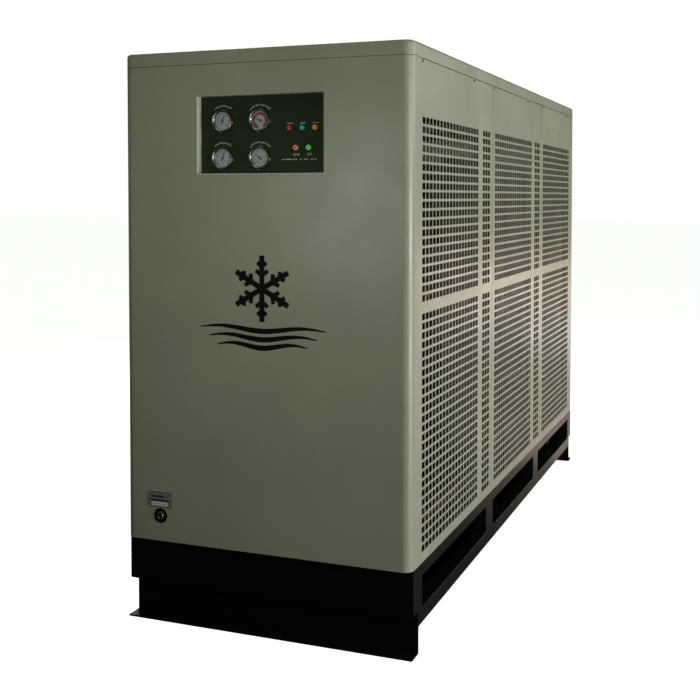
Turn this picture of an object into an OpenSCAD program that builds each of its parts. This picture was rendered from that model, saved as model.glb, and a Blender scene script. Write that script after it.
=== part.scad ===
// Refrigerated compressed-air dryer in a long sheet-metal cabinet on a steel skid.
// Origin: centre of the footprint on the floor. Front (control face) towards -Y, +X right, +Z up.

/* [Cabinet] */
// Width of the cabinet
body_w = 970; // [940:1:1000]
// Length of the cabinet from front face to rear face
body_d = 2684; // [2674:1:2700]
// Height from the floor to the top of the cover
body_h = 1822; // [1812:1:1840]
// Height of the skid under the cabinet
base_h = 265; // [262:1:268]
// Height of the top cover's rim
cover_h = 43; // [40:1:50]
// Outer radius of the vertical cabinet corners
corner_r = 30; // [20:1:32]
// Thickness of the sheet metal
sheet_t = 2; // [1.5:0.5:2.5]
// How far the front and rear panels wrap along the sides
wrap_d = 78; // [74:1:82]
// Gap between neighbouring side panels and under the cover
seam = 3; // [2:1:4]
// Gap between an end panel's wrap and the side panels
wrap_gap = 1; // [1:0.5:2]

/* [Perforation] */
// Width of one punched hole
hole_w = 30; // [24:1:31]
// Height of one punched hole
hole_h = 20; // [16:1:21]
// Column pitch
col_pitch = 36.6; // [36:0.1:37.5]
// Row pitch
row_pitch = 28; // [26:0.5:28.5]
// Rows in the lower block
rows_low = 26; // [20:1:26]
// Rows in the upper block
rows_high = 20; // [16:1:20]
// Columns in the wide block of a panel
cols_wide = 18; // [14:1:18]
// Columns in the narrow block of a panel
cols_narrow = 3; // [2:1:3]
// Height of the lowest row's centre above the floor
first_row_z = 307; // [304:1:310]

/* [Skid] */
// Depth of the side channels, across the machine
rail_w = 50; // [40:1:60]
// Height of the top rail
top_rail_h = 40; // [35:1:45]
// Underside of the lower rail
low_rail_z = 81; // [75:1:85]
// Top of the lower rail
low_rail_top = 128; // [122:1:132]
// Set-back of the end skirts behind the cabinet's end faces
skirt_inset = 22; // [18:1:26]
// Underside of the end skirts
skirt_z = 124; // [120:1:128]
// Inner edge of the end posts, behind the end face
end_post_to = 108; // [100:1:112]
// Width of the middle posts
mid_post_w = 98; // [90:1:104]
// Front edge of the first middle post, behind the front face
mid_post_1 = 889; // [880:1:900]
// Front edge of the second middle post, behind the front face
mid_post_2 = 1724; // [1715:1:1735]
// Set-back of the foot's upright plate behind the end face
foot_inset = 66; // [60:1:70]
// Length of the foot's floor flange in front of its upright
foot_flange = 57; // [50:1:60]
// Thickness of the foot plates
foot_t = 6; // [5:1:8]
// Rise of the foot's upright above the lower rail, between the side frames
foot_lip = 18; // [14:1:40]
// Radius of the anchor holes in the feet
anchor_r = 7; // [5.5:0.5:9]
// Distance between the two anchor holes of a foot
anchor_span = 800; // [700:10:840]

/* [Control recess] */
// Width of the recess opening
recess_w = 425; // [420:1:430]
// Height of the recess opening
recess_h = 239; // [236:1:244]
// Depth of the recess to the control plate
recess_d = 24; // [22:1:28]
// Centre of the recess across the front
recess_x = -5; // [-10:1:0]
// Height of the recess centre
recess_z = 1559; // [1555:1:1565]
// Outer radius of a gauge bezel
gauge_r = 34.5; // [33:0.5:36]
// Distance between gauges, across
gauge_dx = 128; // [120:1:132]
// Distance between gauges, up and down
gauge_dz = 114.5; // [110:0.5:117]
// Outer radius of a lamp or button bezel
pilot_r = 10; // [9.6:0.1:11]

/* [Drain] */
// How far the drain outlet stands out in front of the front face
outlet_out = 6; // [4:1:10]
// Radius of the rubber ring around the outlet
grommet_r = 24.5; // [22:0.5:24.5]

/* [Air connections] */
// Outer radius of the air pipes (DN125)
pipe_r = 70; // [68:0.5:71]
// Wall of the air pipes
pipe_t = 4.5; // [4:0.5:6]
// How far the flanges stand out behind the rear face
pipe_out = 90; // [80:1:120]
// Flange radius (DN125 PN16)
flange_r = 125; // [125:1:127]
// Flange thickness
flange_t = 22; // [18:1:24]
// Bolt circle diameter of the flange
flange_pcd = 210; // [208:1:212]
// Bolt hole radius of the flange
flange_hole_r = 9; // [8:0.5:10]

/* [Hidden] */
$fn = 48;
eps = 0.5;

// The bounding box runs from the drain outlet to the rear pipe flanges
y_front = outlet_out - (outlet_out + body_d + pipe_out) / 2;
y_rear = y_front + body_d;
half_w = body_w / 2;
cover_z = body_h - cover_h;
panel_top = cover_z - seam;
end_panel_top = cover_z - 1.5;
inner_x = half_w - sheet_t;

// Skid
top_rail_z = base_h - top_rail_h;
channel_t = 5;
skirt_t = 5;
skid_end = skirt_inset + skirt_t;
deck_t = 6;
tray_t = 3;
inner_post_at = 2365;
inner_post_w = 46;

// Cabinet frame
tube = 40;
tube_t = 3;
top_tube_h = 60;
corner_post_at = corner_r + 4;
seam_1 = 957;
seam_2 = 1858;
frame_top = body_h - sheet_t;

// Perforation: where each block's first column stands behind the front face
panel_ends = [[wrap_d + wrap_gap, seam_1 - seam / 2],
              [seam_1 + seam / 2, seam_2 - seam / 2],
              [seam_2 + seam / 2, body_d - wrap_d - wrap_gap]];
wide_at = [116, 1015, 1916];
narrow_at = [834, 1736];
rows = concat([for (i = [0 : rows_low - 1]) first_row_z + i * row_pitch],
              [for (i = [0 : rows_high - 1]) first_row_z + (rows_low + 1 + i) * row_pitch]);
screw_at = [21, 614];
screw_z = panel_top - 6.5;
screw_r = 4.5;
shank_r = 2.5;

// Control plate layout
plate_t = 3;
gauge_x = [-140, -140 + gauge_dx];
gauge_z = [1487, 1487 + gauge_dz];
gauge_depth = 12;
case_r = 31;
dial_r = 29.4;
spindle_r = 1.5;
spindle_bore_r = 1.55;
lamp_x = [88, 131, 173];
lamp_z = 1576;
button_x = [108, 151];
button_z = 1516;
pilot_inner_r = 8;
pilot_fit = 0.05;
// Reading at rest of each pointer, clockwise from straight up
rest_evaporating = 15;
rest_condensing = -63;
rest_air_pressure = 20;
rest_dew_point = -57;

// Drain line
drain_x = -358;
drain_z = 347;
label_x = -361;
label_z = 398;

// Compressor corner
comp = [-120, 480];
comp_r = 130;
comp_foot_z = 295;
comp_body_z = 303;
comp_h = 520;
receiver = [270, 300];
receiver_r = 80;
receiver_z = 305;

// Condenser and fans
coil_x = 390;
coil_w = 44;
coil_d = [984, 1834];
coil_z = [420, 1500];
shroud_x = 285;
fan_at = (coil_d[0] + coil_d[1]) / 2;
fan_z = [680, 1240];
fan_hole_r = 258;
fan_shaft_r = 12;
fan_mid_x = 265;
// Liquid line under the coil
liquid_x = 412;
liquid_z = 330;

// Heat exchangers
hx_x = -160;
hx_r = 215;
hx_t = 6;
hx_d = [1634, 2574];
pre_z = 1330;
eva_z = 760;
hx_foot_at = [1874, 2414];
suction_at = 1734;
feed_at = 1774;
stub_end = hx_x + hx_r + 25;
side_port_at = 2254;
air_port_dz = 130;
sep_x = 250;
sep_r = 130;
sep_z = [440, 1000];

// Electrics
box_x = 250;
box_d = [sheet_t, 160];
box_z = [900, 1350];
gland_x = 330;
gland_z = 420;
gland_r = 12.5;

// Depth behind the front face to Y
function at(d) = y_front + d;
function unit(v) = v / norm(v);

// ---------- helpers ----------
module rounded_plan(w, d, r) {
    translate([-w / 2 + r, -d / 2]) square([w - 2 * r, d]);
    translate([-w / 2, -d / 2 + r]) square([w, d - 2 * r]);
    for (x = [-1, 1], y = [-1, 1])
        translate([x * (w / 2 - r), y * (d / 2 - r)]) circle(r);
}

module cabinet_ring() {
    translate([0, (y_front + y_rear) / 2])
        difference() {
            rounded_plan(body_w, body_d, corner_r);
            rounded_plan(body_w - 2 * sheet_t, body_d - 2 * sheet_t, corner_r - sheet_t);
        }
}

// Box from its two corners, with depth behind the front face for Y
module block(lo, hi) {
    translate([lo[0], at(lo[1]), lo[2]])
        cube([hi[0] - lo[0], hi[1] - lo[1], hi[2] - lo[2]]);
}

// Cylinder along +Y from depth d0 to d1
module rod_y(x, z, r, d0, d1) {
    translate([x, at(d0), z]) rotate([-90, 0, 0]) cylinder(r = r, h = d1 - d0);
}

// Cylinder along +X
module rod_x(d, z, r, x0, x1) {
    translate([x0, at(d), z]) rotate([0, 90, 0]) cylinder(r = r, h = x1 - x0);
}

// Straight tube between two points that lie on one axis
module straight(p, q, r) {
    d = unit(q - p);
    turn = abs(d[2]) > 0.5 ? [d[2] > 0 ? 0 : 180, 0, 0]
         : abs(d[1]) > 0.5 ? [d[1] > 0 ? -90 : 90, 0, 0]
         : [0, d[0] > 0 ? 90 : -90, 0];
    translate(p) rotate(turn) cylinder(r = r, h = norm(q - p));
}

// Quarter bend at corner p, coming in along a and leaving along b
module bend(p, a, b, bend_r, r) {
    c = p - bend_r * a + bend_r * b;
    n = cross(a, b);
    multmatrix([[-b[0], a[0], n[0], c[0]],
                [-b[1], a[1], n[1], c[1]],
                [-b[2], a[2], n[2], c[2]],
                [0, 0, 0, 1]])
        rotate_extrude(angle = 90) translate([bend_r, 0]) circle(r);
}

// Run through axis-aligned points [x, depth, z] with a bend at each inner one
module run(points, r, bend_r) {
    p = [for (q = points) [q[0], at(q[1]), q[2]]];
    last = len(p) - 1;
    for (i = [0 : last - 1]) {
        d = unit(p[i + 1] - p[i]);
        a = i == 0 ? p[i] : p[i] + bend_r * d;
        b = i == last - 1 ? p[i + 1] : p[i + 1] - bend_r * d;
        if (norm(b - a) > 0.01) straight(a, b, r);
    }
    for (i = [1 : last - 1])
        bend(p[i], unit(p[i] - p[i - 1]), unit(p[i + 1] - p[i]), bend_r, r);
}

module hollow_run(points, r, t, bend_r) {
    difference() {
        run(points, r, bend_r);
        run(points, r - t, bend_r);
    }
}

module square_tube_z(x, d, z0, z1) {
    difference() {
        block([x, d, z0], [x + tube, d + tube, z1]);
        block([x + tube_t, d + tube_t, z0 - eps], [x + tube - tube_t, d + tube - tube_t, z1 + eps]);
    }
}

// Both halves of something that is the same left and right
module both_sides() {
    children();
    mirror([1, 0, 0]) children();
}

// The same at the front and at the rear end
module both_ends() {
    children();
    translate([0, y_front + y_rear, 0]) mirror([0, 1, 0]) children();
}

// ---------- skid ----------
module channel_bar(d0, d1, z0, z1) {
    difference() {
        block([half_w - rail_w, d0, z0], [half_w, d1, z1]);
        block([half_w - rail_w - eps, d0 - eps, z0 + channel_t],
              [half_w - channel_t, d1 + eps, z1 - channel_t]);
    }
}

module skid_post(d0, w) {
    difference() {
        block([half_w - rail_w, d0, low_rail_top], [half_w, d0 + w, top_rail_z]);
        block([half_w - rail_w - eps, d0 + channel_t, low_rail_top - eps],
              [half_w - channel_t, d0 + w - channel_t, top_rail_z + eps]);
    }
}

module base_side_frames() {
    color([0.05, 0.055, 0.06]) both_sides() {
        channel_bar(skid_end, body_d - skid_end, top_rail_z, base_h);
        channel_bar(foot_inset + foot_t, body_d - foot_inset - foot_t, low_rail_z, low_rail_top);
        skid_post(skid_end, end_post_to - skid_end);
        skid_post(mid_post_1, mid_post_w);
        skid_post(mid_post_2, mid_post_w);
        skid_post(body_d - end_post_to, end_post_to - skid_end);
    }
}

module end_skirts() {
    color([0.05, 0.055, 0.06]) both_ends()
        block([-half_w, skirt_inset, skirt_z], [half_w, skid_end, base_h]);
}

module end_feet() {
    color([0.05, 0.055, 0.06]) both_ends() difference() {
        union() {
            block([-half_w, foot_inset, 0], [half_w, foot_inset + foot_t, low_rail_top]);
            block([rail_w - half_w, foot_inset, 0],
                  [half_w - rail_w, foot_inset + foot_t, low_rail_top + foot_lip]);
            block([-half_w, foot_inset - foot_flange, 0], [half_w, foot_inset + foot_t, foot_t]);
        }
        for (s = [-1, 1])
            translate([s * anchor_span / 2, at(foot_inset - foot_flange / 2), -eps])
                cylinder(r = anchor_r, h = foot_t + 2 * eps);
    }
}

module base_cross_beams() {
    beam_w = 60;
    inner_x_face = half_w - rail_w;
    color([0.05, 0.055, 0.06]) {
        for (d = [110, mid_post_1 + 20, mid_post_2 + 20, body_d - 110 - beam_w])
            block([-inner_x_face, d, top_rail_z], [inner_x_face, d + beam_w, base_h - deck_t]);
        block([-inner_x_face, foot_inset + foot_t, low_rail_z],
              [inner_x_face, body_d - foot_inset - foot_t, low_rail_z + tray_t]);
        both_sides() block([inner_x_face - 20, inner_post_at, low_rail_z],
                           [inner_x_face - 14, inner_post_at + inner_post_w, base_h - deck_t]);
    }
}

module deck_plate() {
    color([0.06, 0.065, 0.07])
        difference() {
            block([rail_w - half_w, sheet_t, base_h - deck_t],
                  [half_w - rail_w, body_d - sheet_t, base_h]);
            both_ends() block([-half_w, skirt_inset, base_h - deck_t - eps],
                              [half_w, skid_end, base_h + eps]);
        }
}

// ---------- cabinet ----------
module top_tube_x(d) {
    reach = inner_x - tube;
    difference() {
        block([-reach, d, frame_top - top_tube_h], [reach, d + tube, frame_top]);
        block([-reach - eps, d + tube_t, frame_top - top_tube_h + tube_t],
              [reach + eps, d + tube - tube_t, frame_top - tube_t]);
    }
}

module cabinet_frame() {
    posts = [corner_post_at, seam_1 - tube / 2, seam_2 - tube / 2, body_d - corner_post_at - tube];
    color([0.18, 0.18, 0.16]) {
        both_sides() {
            for (d = posts)
                square_tube_z(inner_x - tube, d, base_h, frame_top - top_tube_h);
            difference() {
                block([inner_x - tube, corner_post_at, frame_top - top_tube_h],
                      [inner_x, body_d - corner_post_at, frame_top]);
                block([inner_x - tube + tube_t, corner_post_at - eps,
                       frame_top - top_tube_h + tube_t],
                      [inner_x - tube_t, body_d - corner_post_at + eps, frame_top - tube_t]);
            }
        }
        for (d = posts) top_tube_x(d);
    }
}

module end_panel(rear) {
    translate([0, 0, base_h]) linear_extrude(height = end_panel_top - base_h)
        intersection() {
            cabinet_ring();
            translate([-half_w, rear ? y_rear - wrap_d : y_front]) square([body_w, wrap_d]);
        }
}

module front_panel() {
    color([0.47, 0.47, 0.41]) difference() {
        end_panel(false);
        block([recess_x - recess_w / 2, -eps, recess_z - recess_h / 2],
              [recess_x + recess_w / 2, sheet_t + eps, recess_z + recess_h / 2]);
        rod_y(drain_x, drain_z, 21, -eps, sheet_t + eps);
    }
}

module rear_panel() {
    color([0.47, 0.47, 0.41]) difference() {
        end_panel(true);
        for (s = [-1, 1])
            rod_y(hx_x, pre_z + s * air_port_dz, pipe_r + 6, body_d - sheet_t - eps, body_d + eps);
        rod_y(gland_x, gland_z, gland_r, body_d - sheet_t - eps, body_d + eps);
    }
}

// Flat side sheet: each row of a block is one long slot, closed by the upright webs behind it
module side_sheet(i) {
    wide = [wide_at[i], cols_wide];
    blocks = i < 2 ? [wide, [narrow_at[i], cols_narrow]] : [wide];
    difference() {
        block([inner_x, panel_ends[i][0], base_h], [half_w, panel_ends[i][1], panel_top]);
        for (b = blocks, z = rows)
            block([inner_x - eps, b[0] - hole_w / 2, z - hole_h / 2],
                  [half_w + eps, b[0] + (b[1] - 1) * col_pitch + hole_w / 2, z + hole_h / 2]);
        for (d = screw_at)
            rod_x(panel_ends[i][0] + d, screw_z, shank_r + 0.5, inner_x - eps, half_w + eps);
    }
}

module right_panel_front() { color([0.62, 0.62, 0.56]) side_sheet(0); }
module right_panel_middle() { color([0.62, 0.62, 0.56]) side_sheet(1); }
module right_panel_rear() { color([0.62, 0.62, 0.56]) side_sheet(2); }
module left_panels() {
    color([0.62, 0.62, 0.56]) mirror([1, 0, 0]) for (i = [0 : 2]) side_sheet(i);
}

module panel_webs() {
    web = col_pitch - hole_w;
    starts = concat([for (s = wide_at, i = [0 : cols_wide - 2]) s + i * col_pitch],
                    [for (s = narrow_at, i = [0 : cols_narrow - 2]) s + i * col_pitch]);
    color([0.6, 0.6, 0.54]) both_sides()
        for (d = starts)
            block([inner_x - 1, d + hole_w / 2, rows[0] - hole_h / 2],
                  [inner_x, d + hole_w / 2 + web, rows[len(rows) - 1] + hole_h / 2]);
}

module top_cover() {
    color([0.5, 0.5, 0.44]) difference() {
        translate([0, (y_front + y_rear) / 2, cover_z])
            linear_extrude(height = cover_h) rounded_plan(body_w, body_d, corner_r);
        translate([0, (y_front + y_rear) / 2, cover_z - eps])
            linear_extrude(height = cover_h - sheet_t + eps)
                rounded_plan(body_w - 2 * sheet_t, body_d - 2 * sheet_t, corner_r - sheet_t);
    }
}

module panel_screws() {
    color([0.2, 0.2, 0.2]) both_sides()
        for (e = panel_ends, d = screw_at) {
            rod_x(e[0] + d, screw_z, screw_r, half_w, half_w + 2.5);
            rod_x(e[0] + d, screw_z, shank_r, inner_x, half_w + 1);
        }
}

// ---------- control face ----------
module control_recess() {
    color([0.5, 0.5, 0.44]) difference() {
        block([recess_x - recess_w / 2 - sheet_t, sheet_t, recess_z - recess_h / 2 - sheet_t],
              [recess_x + recess_w / 2 + sheet_t, recess_d + plate_t,
               recess_z + recess_h / 2 + sheet_t]);
        block([recess_x - recess_w / 2, sheet_t - eps, recess_z - recess_h / 2],
              [recess_x + recess_w / 2, recess_d + plate_t + eps, recess_z + recess_h / 2]);
    }
}

module at_gauges() {
    for (x = gauge_x, z = gauge_z)
        translate([x, at(recess_d), z]) rotate([90, 0, 0]) children();
}

module at_pilots() {
    for (x = lamp_x) translate([x, at(recess_d), lamp_z]) rotate([90, 0, 0]) children();
    for (x = button_x) translate([x, at(recess_d), button_z]) rotate([90, 0, 0]) children();
}

module control_plate() {
    color([0.09, 0.12, 0.10]) difference() {
        block([recess_x - recess_w / 2, recess_d, recess_z - recess_h / 2],
              [recess_x + recess_w / 2, recess_d + plate_t, recess_z + recess_h / 2]);
        at_gauges() translate([0, 0, -plate_t - eps]) cylinder(r = case_r, h = plate_t + 2 * eps);
        at_pilots() translate([0, 0, -plate_t - eps])
            cylinder(r = pilot_inner_r + 1, h = plate_t + 2 * eps);
    }
}

// Case, bezel and rear stem of a pressure gauge; the bore in its floor carries the spindle
module gauge_cases() {
    color([0.75, 0.76, 0.78]) at_gauges() difference() {
        union() {
            cylinder(r = gauge_r, h = gauge_depth);
            translate([0, 0, -33]) cylinder(r = case_r, h = 33 + eps);
            translate([0, 0, -52]) cylinder(r = 6, h = 20);
        }
        translate([0, 0, 2]) cylinder(r = dial_r, h = gauge_depth);
        translate([0, 0, -4]) cylinder(r = spindle_bore_r, h = 8);
    }
}

module gauge_dials() {
    color([0.86, 0.87, 0.85]) at_gauges() translate([0, 0, 2]) difference() {
        cylinder(r = dial_r, h = 1.5);
        translate([0, 0, -eps]) cylinder(r = spindle_bore_r, h = 3);
    }
}

module gauge_glasses() {
    color([0.85, 0.9, 0.92, 0.35]) at_gauges() translate([0, 0, 9]) cylinder(r = dial_r, h = 2);
}

// Needle, hub and spindle in one piece, turned clockwise by the reading
module pointer(col, row, reading) {
    color([0.08, 0.08, 0.08])
        translate([gauge_x[col], at(recess_d - 5.2), gauge_z[row]])
            rotate([0, reading, 0]) rotate([90, 0, 0]) {
                linear_extrude(height = 1)
                    polygon([[-1.6, -9], [1.6, -9], [1.2, 0], [0.4, 20], [-0.4, 20], [-1.2, 0]]);
                cylinder(r = 3.2, h = 1.8);
                translate([0, 0, -8]) cylinder(r = spindle_r, h = 9);
            }
}

module pointer_evaporating() { pointer(0, 1, rest_evaporating); }
module pointer_condensing() { pointer(1, 1, rest_condensing); }
module pointer_air_pressure() { pointer(0, 0, rest_air_pressure); }
module pointer_dew_point() { pointer(1, 0, rest_dew_point); }

module pilot_bezels() {
    color([0.1, 0.1, 0.1]) at_pilots() difference() {
        union() {
            cylinder(r = pilot_r, h = 3);
            translate([0, 0, -5]) cylinder(r = pilot_inner_r + 1, h = 6);
        }
        translate([0, 0, -6]) cylinder(r = pilot_inner_r + pilot_fit, h = 12);
    }
}

module lens(i) {
    translate([lamp_x[i], at(recess_d), lamp_z]) rotate([90, 0, 0]) {
        translate([0, 0, -5]) cylinder(r = pilot_inner_r, h = 15);
        translate([0, 0, 10]) dished_end(pilot_inner_r, 3.5);
    }
}

module lamp_red() { color([0.8, 0.12, 0.08]) lens(0); }
module lamp_green() { color([0.05, 0.62, 0.48]) lens(1); }
module lamp_amber() { color([0.9, 0.55, 0.08]) lens(2); }

module push_button(i) {
    translate([button_x[i], at(recess_d), button_z]) rotate([90, 0, 0]) {
        translate([0, 0, -4]) cylinder(r = pilot_inner_r, h = 11.5);
        translate([0, 0, -12]) cylinder(r = 4, h = 9);
    }
}

module stop_button() { color([0.85, 0.28, 0.1]) push_button(0); }
module start_button() { color([0.12, 0.65, 0.22]) push_button(1); }

module switch_blocks() {
    color([0.12, 0.12, 0.13]) difference() {
        at_pilots() translate([-12, -12, -41]) cube([24, 24, 36]);
        for (x = button_x) translate([x, at(recess_d), button_z]) rotate([90, 0, 0]) {
            translate([0, 0, -9]) cylinder(r = pilot_inner_r + 0.5, h = 6);
            translate([0, 0, -20]) cylinder(r = 5, h = 14);
        }
    }
}

module label_plate() {
    color([0.55, 0.56, 0.55])
        block([label_x - 43, -1, label_z - 25.3], [label_x + 43, 0, label_z + 25.3]);
}

// ---------- drain ----------
module drain_grommet() {
    color([0.03, 0.03, 0.03]) difference() {
        union() {
            rod_y(drain_x, drain_z, grommet_r, -3, 0);
            rod_y(drain_x, drain_z, 21, -1, 9);
        }
        rod_y(drain_x, drain_z, 15, -4, 10);
    }
}

module drain_outlet() {
    color([0.75, 0.72, 0.62]) difference() {
        union() {
            rod_y(drain_x, drain_z, 15, 1, 30);
            rod_y(drain_x, drain_z, 11, -outlet_out, 2);
        }
        rod_y(drain_x, drain_z, 7, -outlet_out - 1, 31);
    }
}

module drain_tube() {
    color([0.1, 0.25, 0.6])
        run([[drain_x, 30, drain_z], [drain_x, 1934, drain_z], [sep_x, 1934, drain_z],
             [sep_x, 2034, drain_z]], 8, 60);
}

module drain_timer_valve() {
    color([0.1, 0.1, 0.11]) difference() {
        block([sep_x - 30, 2044, drain_z + 20], [sep_x + 30, 2104, drain_z + 78]);
        for (s = [-1, 1])
            translate([sep_x + s * 15, at(2074), drain_z + 60]) cylinder(r = 2.05, h = 30);
    }
    color([0.7, 0.55, 0.25])
        block([sep_x - 20, 2034, drain_z - 20], [sep_x + 20, 2114, drain_z + 20]);
}

module timer_knob(s) {
    translate([sep_x + s * 15, at(2074), drain_z + 78]) {
        translate([0, 0, 1]) cylinder(r = 8, h = 9);
        translate([0, 0, -12]) cylinder(r = 2, h = 14);
        translate([-1, 0, 9]) cube([2, 7.5, 2.5]);
    }
}

module timer_knob_interval() { color([0.2, 0.2, 0.22]) timer_knob(-1); }
module timer_knob_open() { color([0.2, 0.2, 0.22]) timer_knob(1); }

module drain_ball_valve() {
    color([0.72, 0.58, 0.28]) difference() {
        union() {
            rod_y(sep_x, drain_z, 20, 2114, 2174);
            translate([sep_x, at(2144), drain_z]) cylinder(r = 10, h = 27);
            run([[sep_x, 2174, drain_z], [sep_x, side_port_at, drain_z],
                 [sep_x, side_port_at, sep_z[0] - 40]], 12, 40);
        }
        translate([sep_x, at(2144), drain_z + 12]) cylinder(r = 4.05, h = 20);
    }
}

module drain_valve_lever() {
    color([0.75, 0.1, 0.08]) translate([sep_x, at(2144), drain_z]) {
        translate([0, 0, 14]) cylinder(r = 4, h = 18);
        translate([0, 0, 28]) cylinder(r = 9, h = 4);
        translate([-7, 0, 28]) cube([14, 75, 4]);
    }
}

// ---------- refrigeration ----------
// Spherical cap of base radius r and height h
module dished_end(r, h) {
    ball = (r * r + h * h) / (2 * h);
    intersection() {
        translate([0, 0, h - ball]) sphere(ball);
        translate([-r - 1, -r - 1, 0]) cube([2 * r + 2, 2 * r + 2, h + 1]);
    }
}

module compressor() {
    color([0.1, 0.11, 0.12]) translate([comp[0], at(comp[1]), 0]) {
        translate([-150, -150, comp_foot_z]) cube([300, 300, comp_body_z - comp_foot_z]);
        translate([0, 0, comp_body_z - 1]) cylinder(r = comp_r, h = comp_h + 1);
        translate([0, 0, comp_body_z + comp_h]) dished_end(comp_r, 45);
        translate([-55, -comp_r - 50, 560]) cube([110, 90, 130]);
    }
}

module compressor_mounts() {
    color([0.03, 0.03, 0.03]) translate([comp[0], at(comp[1]), base_h])
        for (x = [-120, 120], y = [-120, 120])
            translate([x, y, 0]) cylinder(r = 20, h = comp_foot_z - base_h);
}

module liquid_receiver() {
    color([0.12, 0.13, 0.14]) translate([receiver[0], at(receiver[1]), 0]) {
        translate([0, 0, base_h]) cylinder(r = 60, h = receiver_z - base_h + 1);
        translate([0, 0, receiver_z]) cylinder(r = receiver_r, h = 460);
        translate([0, 0, receiver_z + 460]) dished_end(receiver_r, 30);
    }
}

module filter_drier() {
    color([0.1, 0.3, 0.6]) {
        rod_y(receiver[0], 900, 38, 440, 580);
        rod_y(receiver[0], 900, 15, 420, 600);
    }
}

module condenser_core() {
    color([0.72, 0.73, 0.74])
        block([coil_x, coil_d[0], coil_z[0]], [coil_x + coil_w, coil_d[1], coil_z[1]]);
}

module condenser_frame() {
    color([0.6, 0.61, 0.6]) difference() {
        union() {
            block([coil_x - 4, coil_d[0] - 15, coil_z[0] - 20],
                  [coil_x + coil_w + 4, coil_d[1] + 15, coil_z[1] + 20]);
            for (d = [coil_d[0] - 15, coil_d[1] - 25])
                block([coil_x - 4, d, base_h], [coil_x + coil_w + 4, d + 40, coil_z[0]]);
        }
        block([coil_x, coil_d[0], coil_z[0]], [coil_x + coil_w, coil_d[1], coil_z[1]]);
        block([coil_x - 10, coil_d[0] + 5, coil_z[0] + 5],
              [coil_x + coil_w + 10, coil_d[1] - 5, coil_z[1] - 5]);
        rod_y(liquid_x, liquid_z, 14, coil_d[0] - 16, coil_d[0] + 26);
    }
}

module fan_shroud() {
    lo_d = coil_d[0] - 15;
    hi_d = coil_d[1] + 15;
    lo_z = coil_z[0] - 20;
    hi_z = coil_z[1] + 20;
    color([0.62, 0.63, 0.62]) difference() {
        block([shroud_x, lo_d, lo_z], [coil_x - 4, hi_d, hi_z]);
        block([shroud_x + 3, lo_d + 3, lo_z + 3], [coil_x, hi_d - 3, hi_z - 3]);
        for (z = fan_z) rod_x(fan_at, z, fan_hole_r, shroud_x - eps, shroud_x + 4);
    }
}

// Motor with four arms that carry it on the shroud plate
module fan_motors() {
    color([0.15, 0.16, 0.17]) for (z = fan_z) difference() {
        union() {
            rod_x(fan_at, z, 70, 120, 234);
            for (a = [45, 135, 225, 315]) translate([shroud_x, at(fan_at), z]) rotate([a, 0, 0]) {
                translate([-57, -8, 60]) cube([6, 16, 222]);
                translate([-57, -8, 270]) cube([57, 16, 12]);
            }
        }
        rod_x(fan_at, z, fan_shaft_r + 0.05, 180, 240);
    }
}

// Hub, five pitched blades and the shaft
module fan_rotor(z) {
    color([0.08, 0.08, 0.09]) translate([fan_mid_x, at(fan_at), z]) rotate([0, 90, 0]) {
        translate([0, 0, -20]) cylinder(r = 60, h = 40);
        translate([0, 0, -75]) cylinder(r = fan_shaft_r, h = 60);
        for (i = [0 : 4])
            rotate([0, 0, i * 72]) rotate([35, 0, 0]) translate([50, -45, -2.5]) cube([195, 90, 5]);
    }
}

module fan_rotor_upper() { fan_rotor(fan_z[1]); }
module fan_rotor_lower() { fan_rotor(fan_z[0]); }

// Shell of a heat exchanger with its air ports; the ports on the right side meet the separator's
module hx_body(z) {
    rod_y(hx_x, z, hx_r, hx_d[0], hx_d[1]);
    rod_y(hx_x, z, pipe_r, hx_d[0] - 40, hx_d[0] + 1);
    rod_x(side_port_at, z, pipe_r, hx_x, stub_end);
}

module hx_cavity(z) {
    rod_y(hx_x, z, hx_r - hx_t, hx_d[0] + 10, hx_d[1] - 10);
    rod_y(hx_x, z, pipe_r - pipe_t, hx_d[0] - 41, hx_d[0] + 20);
    rod_x(side_port_at, z, pipe_r - pipe_t, hx_x, stub_end + 1);
}

module precooler_shell() {
    color([0.35, 0.37, 0.4]) difference() {
        union() {
            hx_body(pre_z);
            for (s = [-1, 1])
                rod_y(hx_x, pre_z + s * air_port_dz, pipe_r, hx_d[1] - 1, hx_d[1] + 40);
            for (d = hx_foot_at)
                block([hx_x - 130, d, eva_z], [hx_x + 130, d + 10, pre_z]);
        }
        rod_y(hx_x, eva_z, hx_r, hx_d[0], hx_d[1]);
        hx_cavity(pre_z);
        for (s = [-1, 1])
            rod_y(hx_x, pre_z + s * air_port_dz, pipe_r - pipe_t, hx_d[1] - 20, hx_d[1] + 41);
    }
}

module evaporator_shell() {
    color([0.06, 0.06, 0.065]) difference() {
        union() {
            hx_body(eva_z);
            translate([hx_x, at(suction_at), eva_z]) cylinder(r = 22, h = 240);
            rod_x(feed_at, eva_z, 15, hx_x, stub_end);
            for (d = hx_foot_at)
                block([hx_x - 130, d, base_h], [hx_x + 130, d + 10, eva_z]);
        }
        hx_cavity(eva_z);
    }
}

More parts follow.
